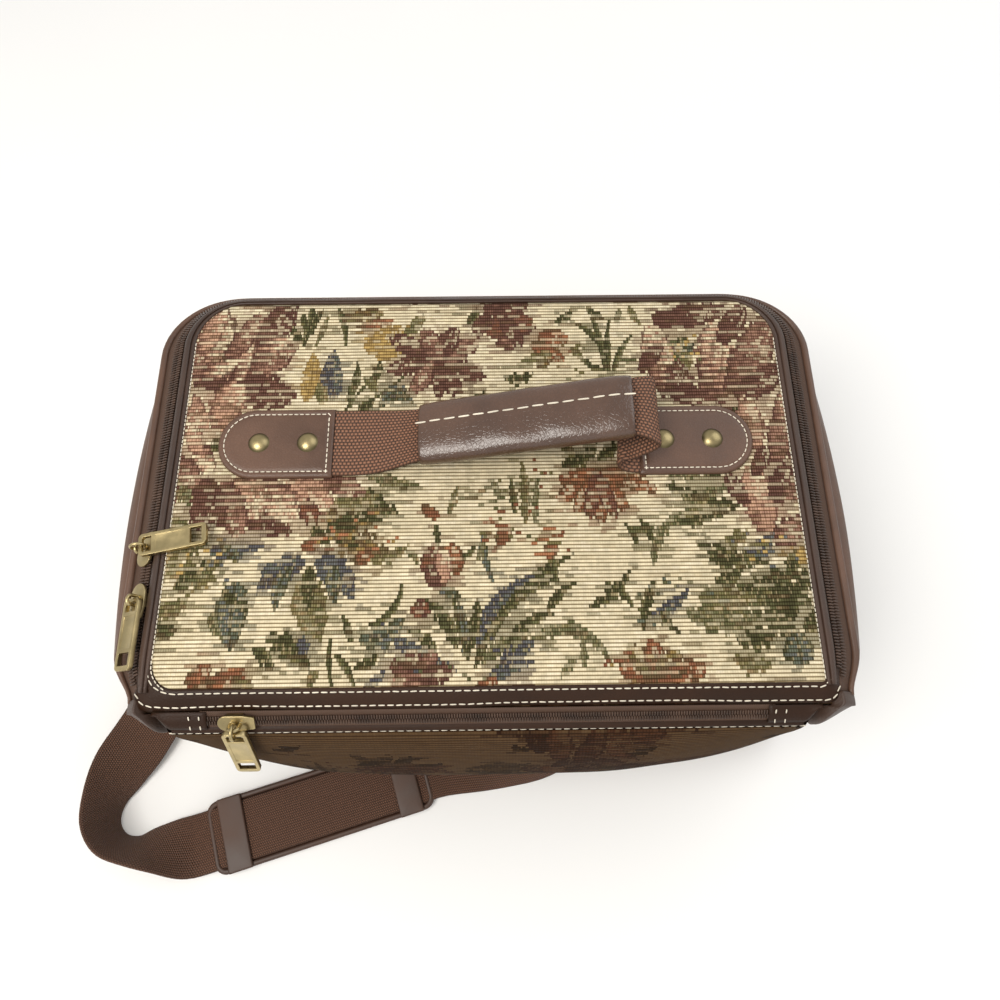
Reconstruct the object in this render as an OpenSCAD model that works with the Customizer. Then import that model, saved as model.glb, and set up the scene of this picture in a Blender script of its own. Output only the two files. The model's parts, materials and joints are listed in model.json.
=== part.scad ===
// Structured tapestry overnight case with a zipped lid, a carry handle on the lid,
// a zipped pocket on the front and a webbing shoulder strap.
// The base stands on z = 0, the lid faces up and the pocket faces -y.

/* [Lid] */
// Width of the tapestry lid panel
lid_w = 330; // [310:1:350]
// Depth of the tapestry lid panel, front to back
lid_d = 220; // [205:1:235]
// Thickness of the stiffened lid panel
lid_t = 5; // [4:0.5:7]
// Radius of the lid's two back corners
lid_back_r = 27; // [22:1:36]
// Radius of the lid's two front corners
lid_front_r = 3; // [2:0.5:6]
// Height of the lid's top face above the floor
case_h = 175; // [160:1:190]
// Radius of the piping round the lid panel
lid_piping_r = 1; // [0.75:0.25:1.5]
// Forward run of the hinge trim below the lid's front edge
trim_run = 8; // [6:0.5:10]
// Drop of the hinge trim from the lid's top face
trim_drop = 7; // [6:0.5:9]

/* [Zip] */
// Outward run from the lid panel's edge to the middle of the zip
zip_run = 10; // [9:0.5:13]
// Drop from the lid's top face to the middle of the zip
zip_drop = 6.5; // [5.5:0.5:8]
// Width of one half of the zip's tape
tape_w = 11; // [10:0.5:12]
// Thickness of the zip's tape
tape_t = 0.8; // [0.6:0.1:1.2]
// Width of one half of the zip's coil
coil_w = 4; // [3.5:0.1:4.2]
// Height of the zip's coil above its tape
coil_h = 1.6; // [1.2:0.1:2]
// Gap between the two halves of the closed zip
zip_gap = 0.4; // [0.3:0.1:0.6]
// Radius of the piping between the zip and the walls
piping_r = 2; // [1.5:0.25:2.5]
// Forward reach of the vinyl caps over the zip's front ends
zip_end_run = 8; // [5:0.5:10]
// Length of the vinyl caps down the front corners
zip_end_drop = 26; // [20:1:34]

/* [Walls] */
// Thickness of the padded tapestry walls
wall_t = 4; // [3:0.5:5]
// Thickness of the vinyl strips
vinyl_t = 1.6; // [1.2:0.1:2]
// Height of the vinyl band under the piping
band_h = 22; // [16:1:30]
// Bow of the side walls at their middle
side_bow = 12; // [6:1:16]
// Bow of the back wall at its middle
back_bow = 4; // [2:1:6]
// How far the walls draw in towards the base
base_inset = 9; // [5:1:12]
// Thickness of the base panel
base_t = 4; // [3:0.5:6]
// Thickness of the board inside the base
board_t = 3; // [2:0.5:4]
// Thickness of the lining
lining_t = 1; // [0.8:0.1:1.5]

/* [Pocket] */
// How far the filled pocket stands out from the front wall
pocket_swell = 27; // [18:1:32]
// Forward run of the pocket's zip below the hinge trim
shelf_run = 8; // [7.5:0.5:10]
// Drop of the pocket's zip below the hinge trim
shelf_drop = 7; // [6:0.5:9]
// Thickness of the pocket's cloth
pocket_t = 2; // [1.5:0.25:3]
// Height of the pocket's lower seam above the floor
pocket_bottom = 40; // [38:1:60]
// How far the pocket's zip stays in from the pocket's ends
pocket_zip_in = 23; // [19:1:30]
// Width of one half of the pocket zip's coil
pocket_coil_w = 2.4; // [2:0.1:2.6]
// Length of the vinyl tab at each end of the pocket's zip
end_tab_l = 15; // [10:1:18]
// How far the pocket's ends stay in from the lid's width
pocket_in = 2; // [0:0.5:6]
// Radius of the bound upper edge of the pocket
binding_r = 1.6; // [1.2:0.1:2]

/* [Handle] */
// Distance between the inner ends of the two handle tabs
handle_span = 163; // [150:1:175]
// Length of a handle tab
tab_l = 62; // [56:1:68]
// Width of a handle tab
tab_w = 40; // [38:1:44]
// Thickness of a handle tab
tab_t = 2.5; // [2:0.25:3.5]
// Set-back of the handle from the middle of the lid
handle_y = 20; // [10:1:25]
// Width of the webbing of handle and shoulder strap
web_w = 38; // [32:1:38]
// Thickness of the webbing
web_t = 2; // [1.5:0.25:2.5]
// Height of the raised end of the grip's middle line above the lid
grip_rise = 28; // [22:1:34]
// Width of the grip
grip_w = 35; // [33:0.5:38]
// Thickness of the grip
grip_h = 14; // [11:0.5:16]
// Radius of a rivet's cap
rivet_r = 5.75; // [4.5:0.25:6.5]
// Height of a rivet's cap
rivet_h = 2.4; // [1.8:0.2:3]
// Distance from the tab's inner end to its first rivet
rivet_in = 14; // [12:0.5:16]
// Distance between the two rivets of a tab
rivet_pitch = 26; // [22:0.5:28]

/* [Sliders and pulls] */
// Length of a zip slider
slider_l = 18; // [16:0.5:20]
// Width of a main zip slider
slider_w = 11; // [10.5:0.25:12]
// Width of the pocket's zip slider
pocket_slider_w = 8.4; // [8.2:0.1:9]
// Thickness of a slider's wing
wing_t = 1.4; // [1.2:0.1:1.8]
// Height of the arch on a slider
arch_h = 5.4; // [5.2:0.1:6]
// Length of a zip pull
pull_l = 36; // [30:1:40]
// Width of a zip pull
pull_w = 12; // [11:0.5:13]
// Thickness of a zip pull
pull_t = 2.4; // [1.8:0.1:2.6]
// Place of the rear slider, forward from the lid's middle
rear_slider_fwd = 37; // [30:1:40]
// Place of the front slider, forward from the lid's middle
front_slider_fwd = 64; // [62:1:68]
// Turn of the rear pull towards the back
rear_pull_turn = 10; // [0:1:10]

/* [Strap] */
// Set-forward of the strap's tabs from the lid's middle
strap_fwd = 18; // [10:1:25]
// Height of the lower edge of the strap's tabs above the floor
strap_tab_z = 70; // [64:1:80]
// Length of the shoulder pad
pad_l = 146; // [134:1:154]
// Width of the shoulder pad
pad_w = 46; // [44:1:48]
// Thickness of the shoulder pad's base
pad_t = 3; // [2:0.5:4]
// Length of each cross band on the pad
pad_band_l = 16; // [12:1:20]
// Distance of the pad's middle in from the strap's left tab
pad_side = 88; // [84:1:94]
// Distance of the pad's middle in front of the front wall
pad_fwd = 46; // [44:1:52]

/* [Hidden] */
$fn = 48;

// Clearance between neighbouring pieces, and the small gap of a seated round piece
clear = 0.3;
seat = 0.1;
// Room between the lining and the bowed walls
lining_gap = 1;
// Overrun of cuts
over = 1;

// Shares of the wall's height, of its draw-in and of its bow, from the base up
wall_shares = [[0, 1, 0.2], [0.12, 0.5, 0.5], [0.35, 0.12, 0.85], [0.65, 0, 1], [1, 0, 1]];
// Shares of the band's height and of its bow, from the walls up to the piping
band_shares = [[0, 1], [0.5, 0.9], [0.85, 0.6], [1, 0.15]];
// Share of the outward runs that is left along the back, where the zip stands steeper
back_run_share = 0.5;
// Sides of a swept piping
piping_sides = 16;
// Steps along a side, round a corner and along the back
side_steps = 6;
corner_steps = 12;
back_steps = 8;

// The zip's slope, from the lid's edge down and outwards
slope_a = atan2(zip_drop, zip_run);
slope_l = norm([zip_run, zip_drop]);
zip_z = case_h - zip_drop;
vinyl_s = slider_w / 2 + 2 * clear;
skirt_s = (lid_piping_r + seat) * (1 + 1 / cos(slope_a)) - slope_l;
lid_tape_s = max(-vinyl_s - coil_w, skirt_s + tape_t);
piping_s = tape_w + piping_r;
band_s = piping_s + piping_r + seat;
band_z = slope_at(piping_s, 0)[1] - piping_r - seat;
wall_g = slope_at(band_s, 0)[0];
wall_z = band_z - band_h;

// Places along y, with the whole depth centred on y = 0
front_reach = trim_run + pocket_swell;
back_reach = wall_g * back_run_share + back_bow;
lid_y = (front_reach - back_reach) / 2;
lid_front = lid_y - lid_d / 2;
lid_back = lid_y + lid_d / 2;
hinge_y = lid_front - trim_run;
hinge_z = case_h - trim_drop;
front_in = hinge_y + wall_t;
strip_front = front_in + clear;
lid_strip_front = lid_front + clear;
front_top = hinge_z - vinyl_t - 2 * clear;

// The pocket's zip, on a slope between the hinge trim and the pocket's upper edge
shelf_a = atan2(shelf_drop, shelf_run);
shelf_l = norm([shelf_run, shelf_drop]);
pocket_top = hinge_z - shelf_drop - binding_r;
pocket_half = lid_w / 2 - pocket_in;
pocket_zip_l = 2 * (pocket_half - pocket_zip_in);
pocket_flat = pocket_zip_l / 2 + end_tab_l;
// Shares that shape the pocket's swell
swell_rise_share = 0.9;
swell_round_share = 0.75;
swell_plan_share = 3.5;
pocket_steps = 24;
end_tab_steps = 6;
end_tab_tip_share = 0.15;
pocket_rows = 10;

// Sliders: heights above the zip's tape
flange_t = 1;
nose_share = 0.62;
wing_z = coil_h + clear;
wing_top = wing_z + wing_t;
arch_r = 2.4;
arch_bar_r = 0.9;
link_r = 3.6;
link_bar_r = 0.8;
link_off = 1.4;
rear_link_off = 1.55;
pull_bar = 1.8;
pull_window_l = 5;
pull_eye_l = 6.5;
pull_rim = 1.8;
pull_edge = 2.2;
pull_corner_r = 2.4;
pull_recess = 0.35;
pull_lift = norm([pull_bar, pull_t]) / 2 + clear;
// Lie of the rear pull, over the lid's edge and clear of the handle's tab, and of the pocket's pull
rear_pull_in = lid_w / 2 + zip_run + (wing_top + arch_h) * sin(slope_a) - handle_span / 2 - tab_l;
rear_pull_up = tab_t + pull_t / 2 + 4 * clear + zip_drop - (wing_top + arch_h) * cos(slope_a);
rear_pull_rise = atan2(rear_pull_up, rear_pull_in);
rear_pull_way = [sin(slope_a) * cos(rear_pull_turn), cos(slope_a)];
rear_pull_dip = acos(sin(rear_pull_rise) / norm(rear_pull_way)) - atan2(rear_pull_way[1], rear_pull_way[0]);
pocket_pull_dip = 64;
pocket_slider_x = -pocket_zip_l / 2 + slider_l;

// Shares along the handle's path: across the span, of the rise, of the width, of the skew
handle_path_shares = [
  [-1, 0, 1, 0], [-0.86, 0, 1, 0], [-0.7, 0.04, 0.96, 0.05], [-0.55, 0.13, 0.86, 0.15],
  [-0.42, 0.24, 0.8, 0.22], [-0.2, 0.37, 0.8, 0.35], [0.05, 0.52, 0.8, 0.5],
  [0.3, 0.67, 0.8, 0.65], [0.55, 0.82, 0.8, 0.8], [0.8, 0.96, 0.8, 0.95], [0.92, 1, 0.84, 1],
  [1, 0.97, 0.92, 1], [1.06, 0.87, 1, 1], [1.08, 0.74, 1, 0.95], [1.05, 0.6, 1, 0.85],
  [0.97, 0.44, 1, 0.65], [0.9, 0.3, 1, 0.45], [0.87, 0.18, 1, 0.25], [0.9, 0.07, 1, 0.1],
  [0.95, 0.01, 1, 0], [1, 0, 1, 0]
];
handle_skew = 6;
// The grip's stretch of the handle's path, and the room inside it round the webbing
grip_first = 4;
grip_last = 10;
grip_room = 0.5;
grip_square_share = 0.75;
grip_sides = 20;

// The strap's route: shares of the tab's distance along x and of the webbing's width beyond it, shares of
// the way back to the tab and of the width before the front wall, share of the width above the floor,
// then the direction of the webbing's width
strap_x = lid_w / 2 + wall_g + side_bow + tab_t / 2;
strap_y = lid_y - strap_fwd;
strap_left_shares = [
  [-1, -0.175, 0.971, 0, 1.474, 0, 1, 0], [-1, -0.227, 0.891, 0, 1.105, -0.1, 1, -0.1],
  [-1, -0.329, 0.751, 0, 0.737, -0.3, 0.95, -0.2], [-1, -0.432, 0.571, 0, 0.474, -0.5, 0.85, -0.1],
  [-1, -0.508, 0.371, 0, 0.342, -0.75, 0.65, 0.05], [-1, -0.637, 0.171, 0, 0.316, -0.85, 0.5, 0.15],
  [-1, -0.871, 0, -0.077, 0.342, -0.8, 0.5, 0.3], [-1, -1.108, 0, -0.551, 0.421, -0.65, 0.4, 0.65],
  [-1, -1.265, 0, -1.025, 0.5, -0.35, 0.1, 0.93], [-1, -1.265, 0, -1.446, 0.526, -0.2, -0.05, 0.98],
  [-1, -1.029, 0, -1.762, 0.526, -0.1, -0.2, 0.97], [-1, -0.634, 0, -1.867, 0.474, 0, -0.4, 0.92],
  [-1, -0.239, 0, -1.867, 0.316, 0.1, -0.75, 0.65], [-1, 0.05, 0, -1.854, 0.184, 0.25, -0.95, 0.2]
];
strap_right_shares = [
  [-0.068, 0, 0, -0.54, 0.184, 0.25, -0.95, -0.1], [0.039, 0, 0, -0.515, 0.263, 0.15, -0.85, -0.45],
  [0.156, 0, 0, -0.446, 0.382, 0.05, -0.7, -0.65], [0.292, 0, 0, -0.29, 0.474, 0, -0.4, -0.9],
  [0.448, 0, 0, -0.156, 0.516, 0, -0.15, -1], [0.633, 0, 0, -0.088, 0.516, 0, 0, -1],
  [0.803, 0, 0, -0.088, 0.516, 0, 0, -1], [1, -0.404, 0, -0.117, 0.516, 0.05, 0, -1],
  [1, -0.115, 0.006, 0, 0.521, 0.05, 0, -1], [1, 0.017, 0.121, 0, 0.526, 0.05, 0, -1],
  [1, 0.069, 0.291, 0, 0.553, 0.1, 0, -1], [1, 0.122, 0.491, 0, 0.632, 0.15, 0.2, -0.95],
  [1, 0.148, 0.671, 0, 0.816, 0.25, 0.6, -0.75], [1, 0.148, 0.811, 0, 1.105, 0.2, 0.85, -0.5],
  [1, 0.083, 0.921, 0, 1.421, 0.1, 0.98, -0.15]
];
pad_place = [pad_side - strap_x, hinge_y - pad_fwd];
pad_turn = 16.5;
pad_lead = 8;
strap_lead = 6;
web_channel = web_w + 2 * clear;
web_slot = web_t + 2 * clear;
pad_corner_r = 8;
pad_band_t = 1.6;
pad_band_in = 8;

// A point on the zip's slope: s outwards from the zip's middle, h above the tape
function slope_at(s, h) = [
  zip_run + s * cos(slope_a) + h * sin(slope_a),
  zip_z - s * sin(slope_a) + h * cos(slope_a)
];
// A point on the pocket zip's slope, as y and z
function shelf_at(s, h) = [
  hinge_y - (shelf_l / 2 + s) * cos(shelf_a) - h * sin(shelf_a),
  hinge_z - (shelf_l / 2 + s) * sin(shelf_a) + h * cos(shelf_a)
];
function smooth(t) = let (c = max(0, min(1, t))) c * c * (3 - 2 * c);
function unit(v) = v / norm(v);
function dome(t) = 1 - t * t;

// Stations round the right side, the back and the left side: place, outward direction, bow, share of the run
function side_stations(y0, side) = let (y1 = lid_back - lid_back_r,
    mid = (y0 + y1) / 2, half = (y1 - y0) / 2)
  [for (i = [0 : side_steps]) let (y = y0 + (y1 - y0) * (side > 0 ? i : side_steps - i) / side_steps)
    [[side * lid_w / 2, y], [side, 0], side_bow * dome((y - mid) / half), 1]];
function corner_stations(side) = [for (i = [0 : corner_steps])
  let (t = i / corner_steps, a = side > 0 ? 90 * t : 90 + 90 * t, d = [cos(a), sin(a)])
    [[side * (lid_w / 2 - lid_back_r), lid_back - lid_back_r] + lid_back_r * d, d, 0,
      1 - (1 - back_run_share) * smooth(side > 0 ? t : 1 - t)]];
function back_stations() = let (half = lid_w / 2 - lid_back_r)
  [for (i = [0 : back_steps]) let (x = half * (1 - 2 * i / back_steps))
    [[x, lid_back], [0, 1], back_bow * dome(x / half), back_run_share]];
function tail(list) = [for (i = [1 : len(list) - 1]) list[i]];
function head(list) = [for (i = [0 : len(list) - 2]) list[i]];
function back_part() = concat(corner_stations(1), tail(head(back_stations())), corner_stations(-1));
function u_stations(y0) =
  concat(head(side_stations(y0, 1)), back_part(), tail(side_stations(y0, -1)));

// A row of points at one height, g outwards from the lid's edge, less an inset
function row(stations, g, z, bow, inset) = [for (s = stations)
  let (p = s[0] + s[1] * (g * s[3] + bow * s[2] - inset)) [p[0], p[1], z]];
function wall_rows(stations, inset) = [for (l = wall_shares)
  row(stations, wall_g - base_inset * l[1], base_t + l[0] * (wall_z - base_t), l[2], inset)];
function band_rows(stations, inset) = [for (l = band_shares)
  row(stations, wall_g, wall_z + l[0] * band_h, l[1], inset)];

// A closed sheet between an outer and an inner grid of points
module sheet(outer, inner) {
  rows = len(outer);
  cols = len(outer[0]);
  n = rows * cols;
  function at(j, i) = j * cols + i;
  function two(a, b, c, d) = [[a, b, c], [a, c, d]];
  faces = concat(
    [for (j = [0 : rows - 2], i = [0 : cols - 2],
      f = two(at(j, i), at(j + 1, i), at(j + 1, i + 1), at(j, i + 1))) f],
    [for (j = [0 : rows - 2], i = [0 : cols - 2],
      f = two(n + at(j, i), n + at(j, i + 1), n + at(j + 1, i + 1), n + at(j + 1, i))) f],
    [for (i = [0 : cols - 2], f = two(at(0, i), at(0, i + 1), n + at(0, i + 1), n + at(0, i))) f],
    [for (i = [0 : cols - 2], f = two(at(rows - 1, i + 1), at(rows - 1, i),
      n + at(rows - 1, i), n + at(rows - 1, i + 1))) f],
    [for (j = [0 : rows - 2], f = two(at(j + 1, 0), at(j, 0), n + at(j, 0), n + at(j + 1, 0))) f],
    [for (j = [0 : rows - 2], f = two(at(j, cols - 1), at(j + 1, cols - 1),
      n + at(j + 1, cols - 1), n + at(j, cols - 1))) f]
  );
  polyhedron(points = concat([for (r = outer) each r], [for (r = inner) each r]), faces = faces);
}

// A solid swept through closed sections of equal length, with the same diagonals on opposite faces
module sweep(sections) {
  function band(a, b, c, d, first) = first ? [[a, b, c], [a, c, d]] : [[a, b, d], [b, c, d]];
  n = len(sections[0]);
  last = len(sections) - 1;
  faces = concat(
    [[for (i = [0 : n - 1]) i]],
    [for (j = [0 : last - 1], i = [0 : n - 1],
      f = band(j * n + i, (j + 1) * n + i, (j + 1) * n + (i + 1) % n, j * n + (i + 1) % n, i < n / 2)) f],
    [[for (i = [n - 1 : -1 : 0]) last * n + i]]
  );
  polyhedron(points = [for (s = sections) each s], faces = faces);
}

// Direction of travel at each point of a route
function headings(route) = let (last = len(route) - 1) [for (i = [0 : last])
  unit(route[min(i + 1, last)] - route[max(i - 1, 0)])];
// Sections of a ribbon along points p, with width directions w and widths b
function ribbon_sections(p, w, b, t) = let (h = headings(p)) [for (i = [0 : len(p) - 1])
  let (side = unit(w[i] - h[i] * (w[i] * h[i])), up = cross(h[i], side), x = side * b[i] / 2, y = up * t / 2)
    [p[i] - x - y, p[i] + x - y, p[i] + x + y, p[i] - x + y]];

// A profile of outward distances and heights, run round the right side, the back and the left side
module u_run(profile, y0) sweep([for (s = u_stations(y0)) [for (q = profile)
  let (p = s[0] + s[1] * q[0] * s[3]) [p[0], p[1], q[1]]]]);
// A strip on the zip's slope, between two distances and two heights
function slope_strip(s0, s1, h0, h1) =
  [slope_at(s0, h1), slope_at(s1, h1), slope_at(s1, h0), slope_at(s0, h0)];
// A round piping
function round_profile(centre, r) = [for (i = [0 : piping_sides - 1])
  let (a = -360 * i / piping_sides) centre + r * [cos(a), sin(a)]];

// A strip on the pocket zip's slope, of length l along x from x0
module shelf_strip(x0, l, s0, s1, h0, h1)
  translate([x0, 0, 0]) rotate([90, 0, 90]) linear_extrude(l)
    polygon([shelf_at(s0, h0), shelf_at(s1, h0), shelf_at(s1, h1), shelf_at(s0, h1)]);

// Plan with back corners of radius rb and front corners of radius rf
module plan(half_w, y0, y1, rf, rb) {
  translate([-half_w, y0 + rf]) square([2 * half_w, y1 - y0 - rf - rb]);
  translate([rf - half_w, y0]) square([2 * (half_w - rf), rf]);
  translate([rb - half_w, y1 - rb]) square([2 * (half_w - rb), rb]);
  for (side = [-1, 1]) {
    translate([side * (half_w - rf), y0 + rf]) circle(rf);
    translate([side * (half_w - rb), y1 - rb]) circle(rb);
  }
}

// A tongue with a square inner end at x = 0 and a round outer end
module tongue(l, w) {
  translate([0, -w / 2]) square([l - w / 2, w]);
  translate([l - w / 2, 0]) circle(w / 2);
}

// A riveted tab, flat on its underside, with its square end at x = 0
module tab() difference() {
  linear_extrude(tab_t) tongue(tab_l, tab_w);
  for (i = [0, 1]) translate([rivet_in + i * rivet_pitch, 0, -over])
    cylinder(h = tab_t + 2 * over, r = rivet_r / 3 + clear);
}

// The two domed rivets of a tab
module tab_rivets() {
  ball_r = (rivet_r * rivet_r + rivet_h * rivet_h) / (2 * rivet_h);
  for (i = [0, 1]) translate([rivet_in + i * rivet_pitch, 0, 0]) {
    translate([0, 0, tab_t]) intersection() {
      translate([0, 0, rivet_h - ball_r]) sphere(ball_r);
      cylinder(h = rivet_h, r = rivet_r);
    }
    cylinder(h = tab_t, r = rivet_r / 3);
  }
}

// A zip slider in its own frame: travel along y with its nose to +y, tape at z = 0
module slider(w) {
  tail_w = w - 2 * flange_t;
  linear_outline = [[-tail_w / 2, -slider_l / 2], [tail_w / 2, -slider_l / 2],
    [w / 2, slider_l * (nose_share - 1) / 2], [w / 2, slider_l / 2 - w / 2], [-w / 2, slider_l / 2 - w / 2],
    [-w / 2, slider_l * (nose_share - 1) / 2]];
  translate([0, 0, wing_z]) linear_extrude(wing_t) {
    polygon(linear_outline);
    translate([0, slider_l / 2 - w / 2]) circle(w / 2);
  }
  for (side = [-1, 1])
    translate([side * (w - flange_t) / 2 - flange_t / 2, slider_l * (nose_share - 1) / 2, clear])
      cube([flange_t, slider_l - w / 2 - slider_l * nose_share / 2, wing_t + coil_h]);
  for (side = [-1, 1]) translate([0, side * arch_r, wing_top - wing_t / 2])
    cylinder(h = arch_h - arch_r + wing_t / 2, r = arch_bar_r);
  translate([0, 0, wing_top + arch_h - arch_r]) rotate([90, 0, 90])
    rotate_extrude(angle = 180) translate([arch_r, 0]) circle(arch_bar_r);
}

// A zip pull along +x from its end bar at x = 0, with a recessed plain plate and an open eye
module pull() {
  x0 = -pull_bar / 2;
  plate_x = x0 + pull_bar + pull_window_l + pull_edge;
  plate_l = pull_l - pull_bar - pull_window_l - pull_eye_l - 3 * pull_edge;
  translate([0, 0, -pull_t / 2]) difference() {
    linear_extrude(pull_t) difference() {
      translate([x0 + pull_corner_r, -pull_w / 2]) square([pull_l - 2 * pull_corner_r, pull_w]);
      translate([x0 + pull_bar, pull_rim - pull_w / 2]) square([pull_window_l, pull_w - 2 * pull_rim]);
      translate([x0 + pull_l - pull_edge - pull_eye_l, pull_rim - pull_w / 2])
        square([pull_eye_l, pull_w - 2 * pull_rim]);
    }
    for (z = [-over, pull_t - pull_recess]) translate([plate_x, pull_rim - pull_w / 2, z])
      cube([plate_l, pull_w - 2 * pull_rim, over + pull_recess]);
  }
  for (x = [x0 + pull_corner_r, x0 + pull_l - pull_corner_r], side = [-1, 1])
    translate([x, side * (pull_w / 2 - pull_corner_r), -pull_t / 2]) intersection() {
      cylinder(h = pull_t, r = pull_corner_r);
      translate([x < pull_l / 2 ? -pull_corner_r : 0, side > 0 ? 0 : -pull_corner_r, 0])
        cube([pull_corner_r, pull_corner_r, pull_t]);
    }
  for (x = [x0, x0 + pull_l - pull_corner_r]) translate([x, pull_corner_r - pull_w / 2, -pull_t / 2])
    cube([x == x0 ? pull_bar : pull_corner_r, pull_w - 2 * pull_corner_r, pull_t]);
}

// The ring that joins a pull to a slider's arch, with the arch's bar at its origin
module link(off) translate([off, 0, 0]) rotate([90, 0, 0])
  rotate_extrude() translate([link_r, 0]) circle(link_bar_r);

// Frames of the sliders and of the pulls at their pivots
module on_left_zip(y) translate([-lid_w / 2 - zip_run, y, zip_z]) rotate([0, -slope_a, 0]) children();
module at_rear_slider() on_left_zip(lid_y - rear_slider_fwd) rotate([0, 0, 180]) children();
module at_front_slider() on_left_zip(lid_y - front_slider_fwd) children();
module at_pocket_slider() translate([pocket_slider_x, shelf_at(0, 0)[0], shelf_at(0, 0)[1]])
  rotate([shelf_a, 0, 0]) rotate([0, 0, 90]) children();
module at_rear_pivot() on_left_zip(lid_y - rear_slider_fwd) translate([0, 0, wing_top + arch_h])
  rotate([0, rear_pull_dip, rear_pull_turn]) children();
module at_front_pivot() on_left_zip(lid_y - front_slider_fwd)
  translate([0, 0, wing_top + pull_lift]) rotate([0, 0, -90]) children();
pocket_pivot = shelf_at(0, wing_top + arch_h);
module at_pocket_pivot() translate([pocket_slider_x, pocket_pivot[0], pocket_pivot[1]])
  rotate([0, 0, -90]) rotate([0, pocket_pull_dip, 0]) children();

// Base, walls and lining
module base_plan(y0, inset)
  polygon([for (p = row(u_stations(y0), wall_g - base_inset, 0, 0, inset)) [p[0], p[1]]]);
module base_panel() color("saddlebrown") linear_extrude(base_t) base_plan(hinge_y, 0);
module base_board() color("tan") translate([0, 0, base_t]) linear_extrude(board_t)
  base_plan(front_in + clear, wall_t + clear);

// Rows of the lining, drawn in from the walls and standing on the base board
function lining_rows(inset, floor_z) = [for (l = wall_shares)
  [for (p = row(u_stations(front_in + clear), wall_g - base_inset * l[1],
      max(floor_z, base_t + l[0] * (wall_z - base_t)), l[2], wall_t + lining_gap + inset))
    [p[0], max(p[1], front_in + clear + inset), p[2]]]];
module lining() color("dimgray") {
  floor_z = base_t + board_t + clear;
  outer = lining_rows(0, floor_z);
  inner = lining_rows(lining_t, floor_z + lining_t);
  sweep(concat(outer, [for (j = [len(inner) - 1 : -1 : 0]) inner[j]]));
}

module wall(stations) sheet(wall_rows(stations, 0), wall_rows(stations, wall_t));
module right_wall() color("tan") wall(side_stations(front_in, 1));
module left_wall() color("tan") wall(side_stations(front_in, -1));
module back_wall() color("tan") wall(back_part());

module front_wall() color("peru") {
  top_s = (zip_z - front_top) / sin(slope_a);
  edge = concat(
    [for (l = wall_shares) [lid_w / 2 + wall_g - base_inset * l[1], base_t + l[0] * (wall_z - base_t)]],
    [[lid_w / 2 + wall_g, band_z], [lid_w / 2 + slope_at(top_s, 0)[0], front_top]]
  );
  n = len(edge) - 1;
  translate([0, front_in, 0]) rotate([90, 0, 0]) linear_extrude(wall_t)
    polygon(concat(edge, [for (i = [n : -1 : 0]) [-edge[i][0], edge[i][1]]]));
}

// Vinyl band, piping and the case's half of the zip
module case_band() color("sienna") {
  stations = u_stations(strip_front);
  sheet(band_rows(stations, 0), band_rows(stations, wall_t));
}
module case_piping() color("sienna") u_run(round_profile(slope_at(piping_s, 0), piping_r), strip_front);
module case_zip_tape() color("saddlebrown")
  u_run(slope_strip(zip_gap / 2, tape_w - seat, -tape_t, 0), strip_front);
module case_zip_coil() color("saddlebrown") u_run(slope_strip(zip_gap / 2, coil_w, 0, coil_h), strip_front);

// Vinyl caps over the zip's two front ends, bent down over the front corners and in towards the pocket:
// shares of the forward run, of the drop and of the way in
zip_end_shares = [[0, 0, 0], [0.4, 0.1, 0.5], [0.8, 0.3, 0.9], [1, 0.6, 1], [0.85, 1, 1]];
zip_end_s = -2 * zip_gap;
zip_end_cols = 6;
function zip_end_section(y, l) = let (n = zip_end_cols, order = concat([for (i = [0 : n]) [i, 0]],
    [for (i = [n : -1 : 0]) [i, vinyl_t]]))
  [for (q = order) let (out = q[0] / n, p = slope_at(zip_end_s + out * (band_s - zip_end_s), q[1]))
    [lid_w / 2 + p[0] * (1 - l[2] * (1 - out)), y - l[0] * zip_end_run * (1 - out * out) - q[1] * l[1],
      p[1] - l[1] * zip_end_drop]];
module zip_end(side) color("sienna") mirror([side > 0 ? 0 : 1, 0, 0])
  sweep(concat([zip_end_section(front_in, [0, 0, 0])],
    [for (l = zip_end_shares) zip_end_section(hinge_y - clear, l)]));
module zip_end_left() zip_end(-1);
module zip_end_right() zip_end(1);

// Front pocket
function pocket_lip(x, v) =
  shelf_run * smooth(v) * smooth((pocket_half - abs(x)) / (pocket_half - pocket_flat));
function pocket_out(x, v) = let (
  arch = max(0, sin(180 * pow(v, swell_rise_share))),
  swell = (pocket_swell - shelf_run / 2) * pow(arch, swell_round_share),
  across = 1 - pow(abs(x) / pocket_half, swell_plan_share))
  swell * across + pocket_lip(x, v);
function pocket_rows_at(t) = [for (j = [0 : pocket_rows]) let (v = j / pocket_rows)
  [for (i = [0 : pocket_steps]) let (x = pocket_half * (2 * i / pocket_steps - 1))
    [x, hinge_y - clear - pocket_out(x, v) - t, pocket_bottom + v * (pocket_top - pocket_bottom)]]];
module pocket_panel() color("burlywood") sheet(pocket_rows_at(pocket_t), pocket_rows_at(0));
module pocket_binding() color("sienna") translate([-pocket_flat, 0, 0]) rotate([90, 0, 90])
  linear_extrude(2 * pocket_flat) translate(shelf_at(shelf_l / 2 - binding_r, -binding_r))
    circle(binding_r);
module pocket_zip_tape() color("saddlebrown")
  shelf_strip(-pocket_zip_l / 2, pocket_zip_l, clear - shelf_l / 2, shelf_l / 2 - 2 * binding_r - seat,
    -tape_t, 0);
module pocket_zip_coil() color("saddlebrown")
  shelf_strip(-pocket_zip_l / 2, pocket_zip_l, -pocket_coil_w, pocket_coil_w, 0, coil_h);
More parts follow.
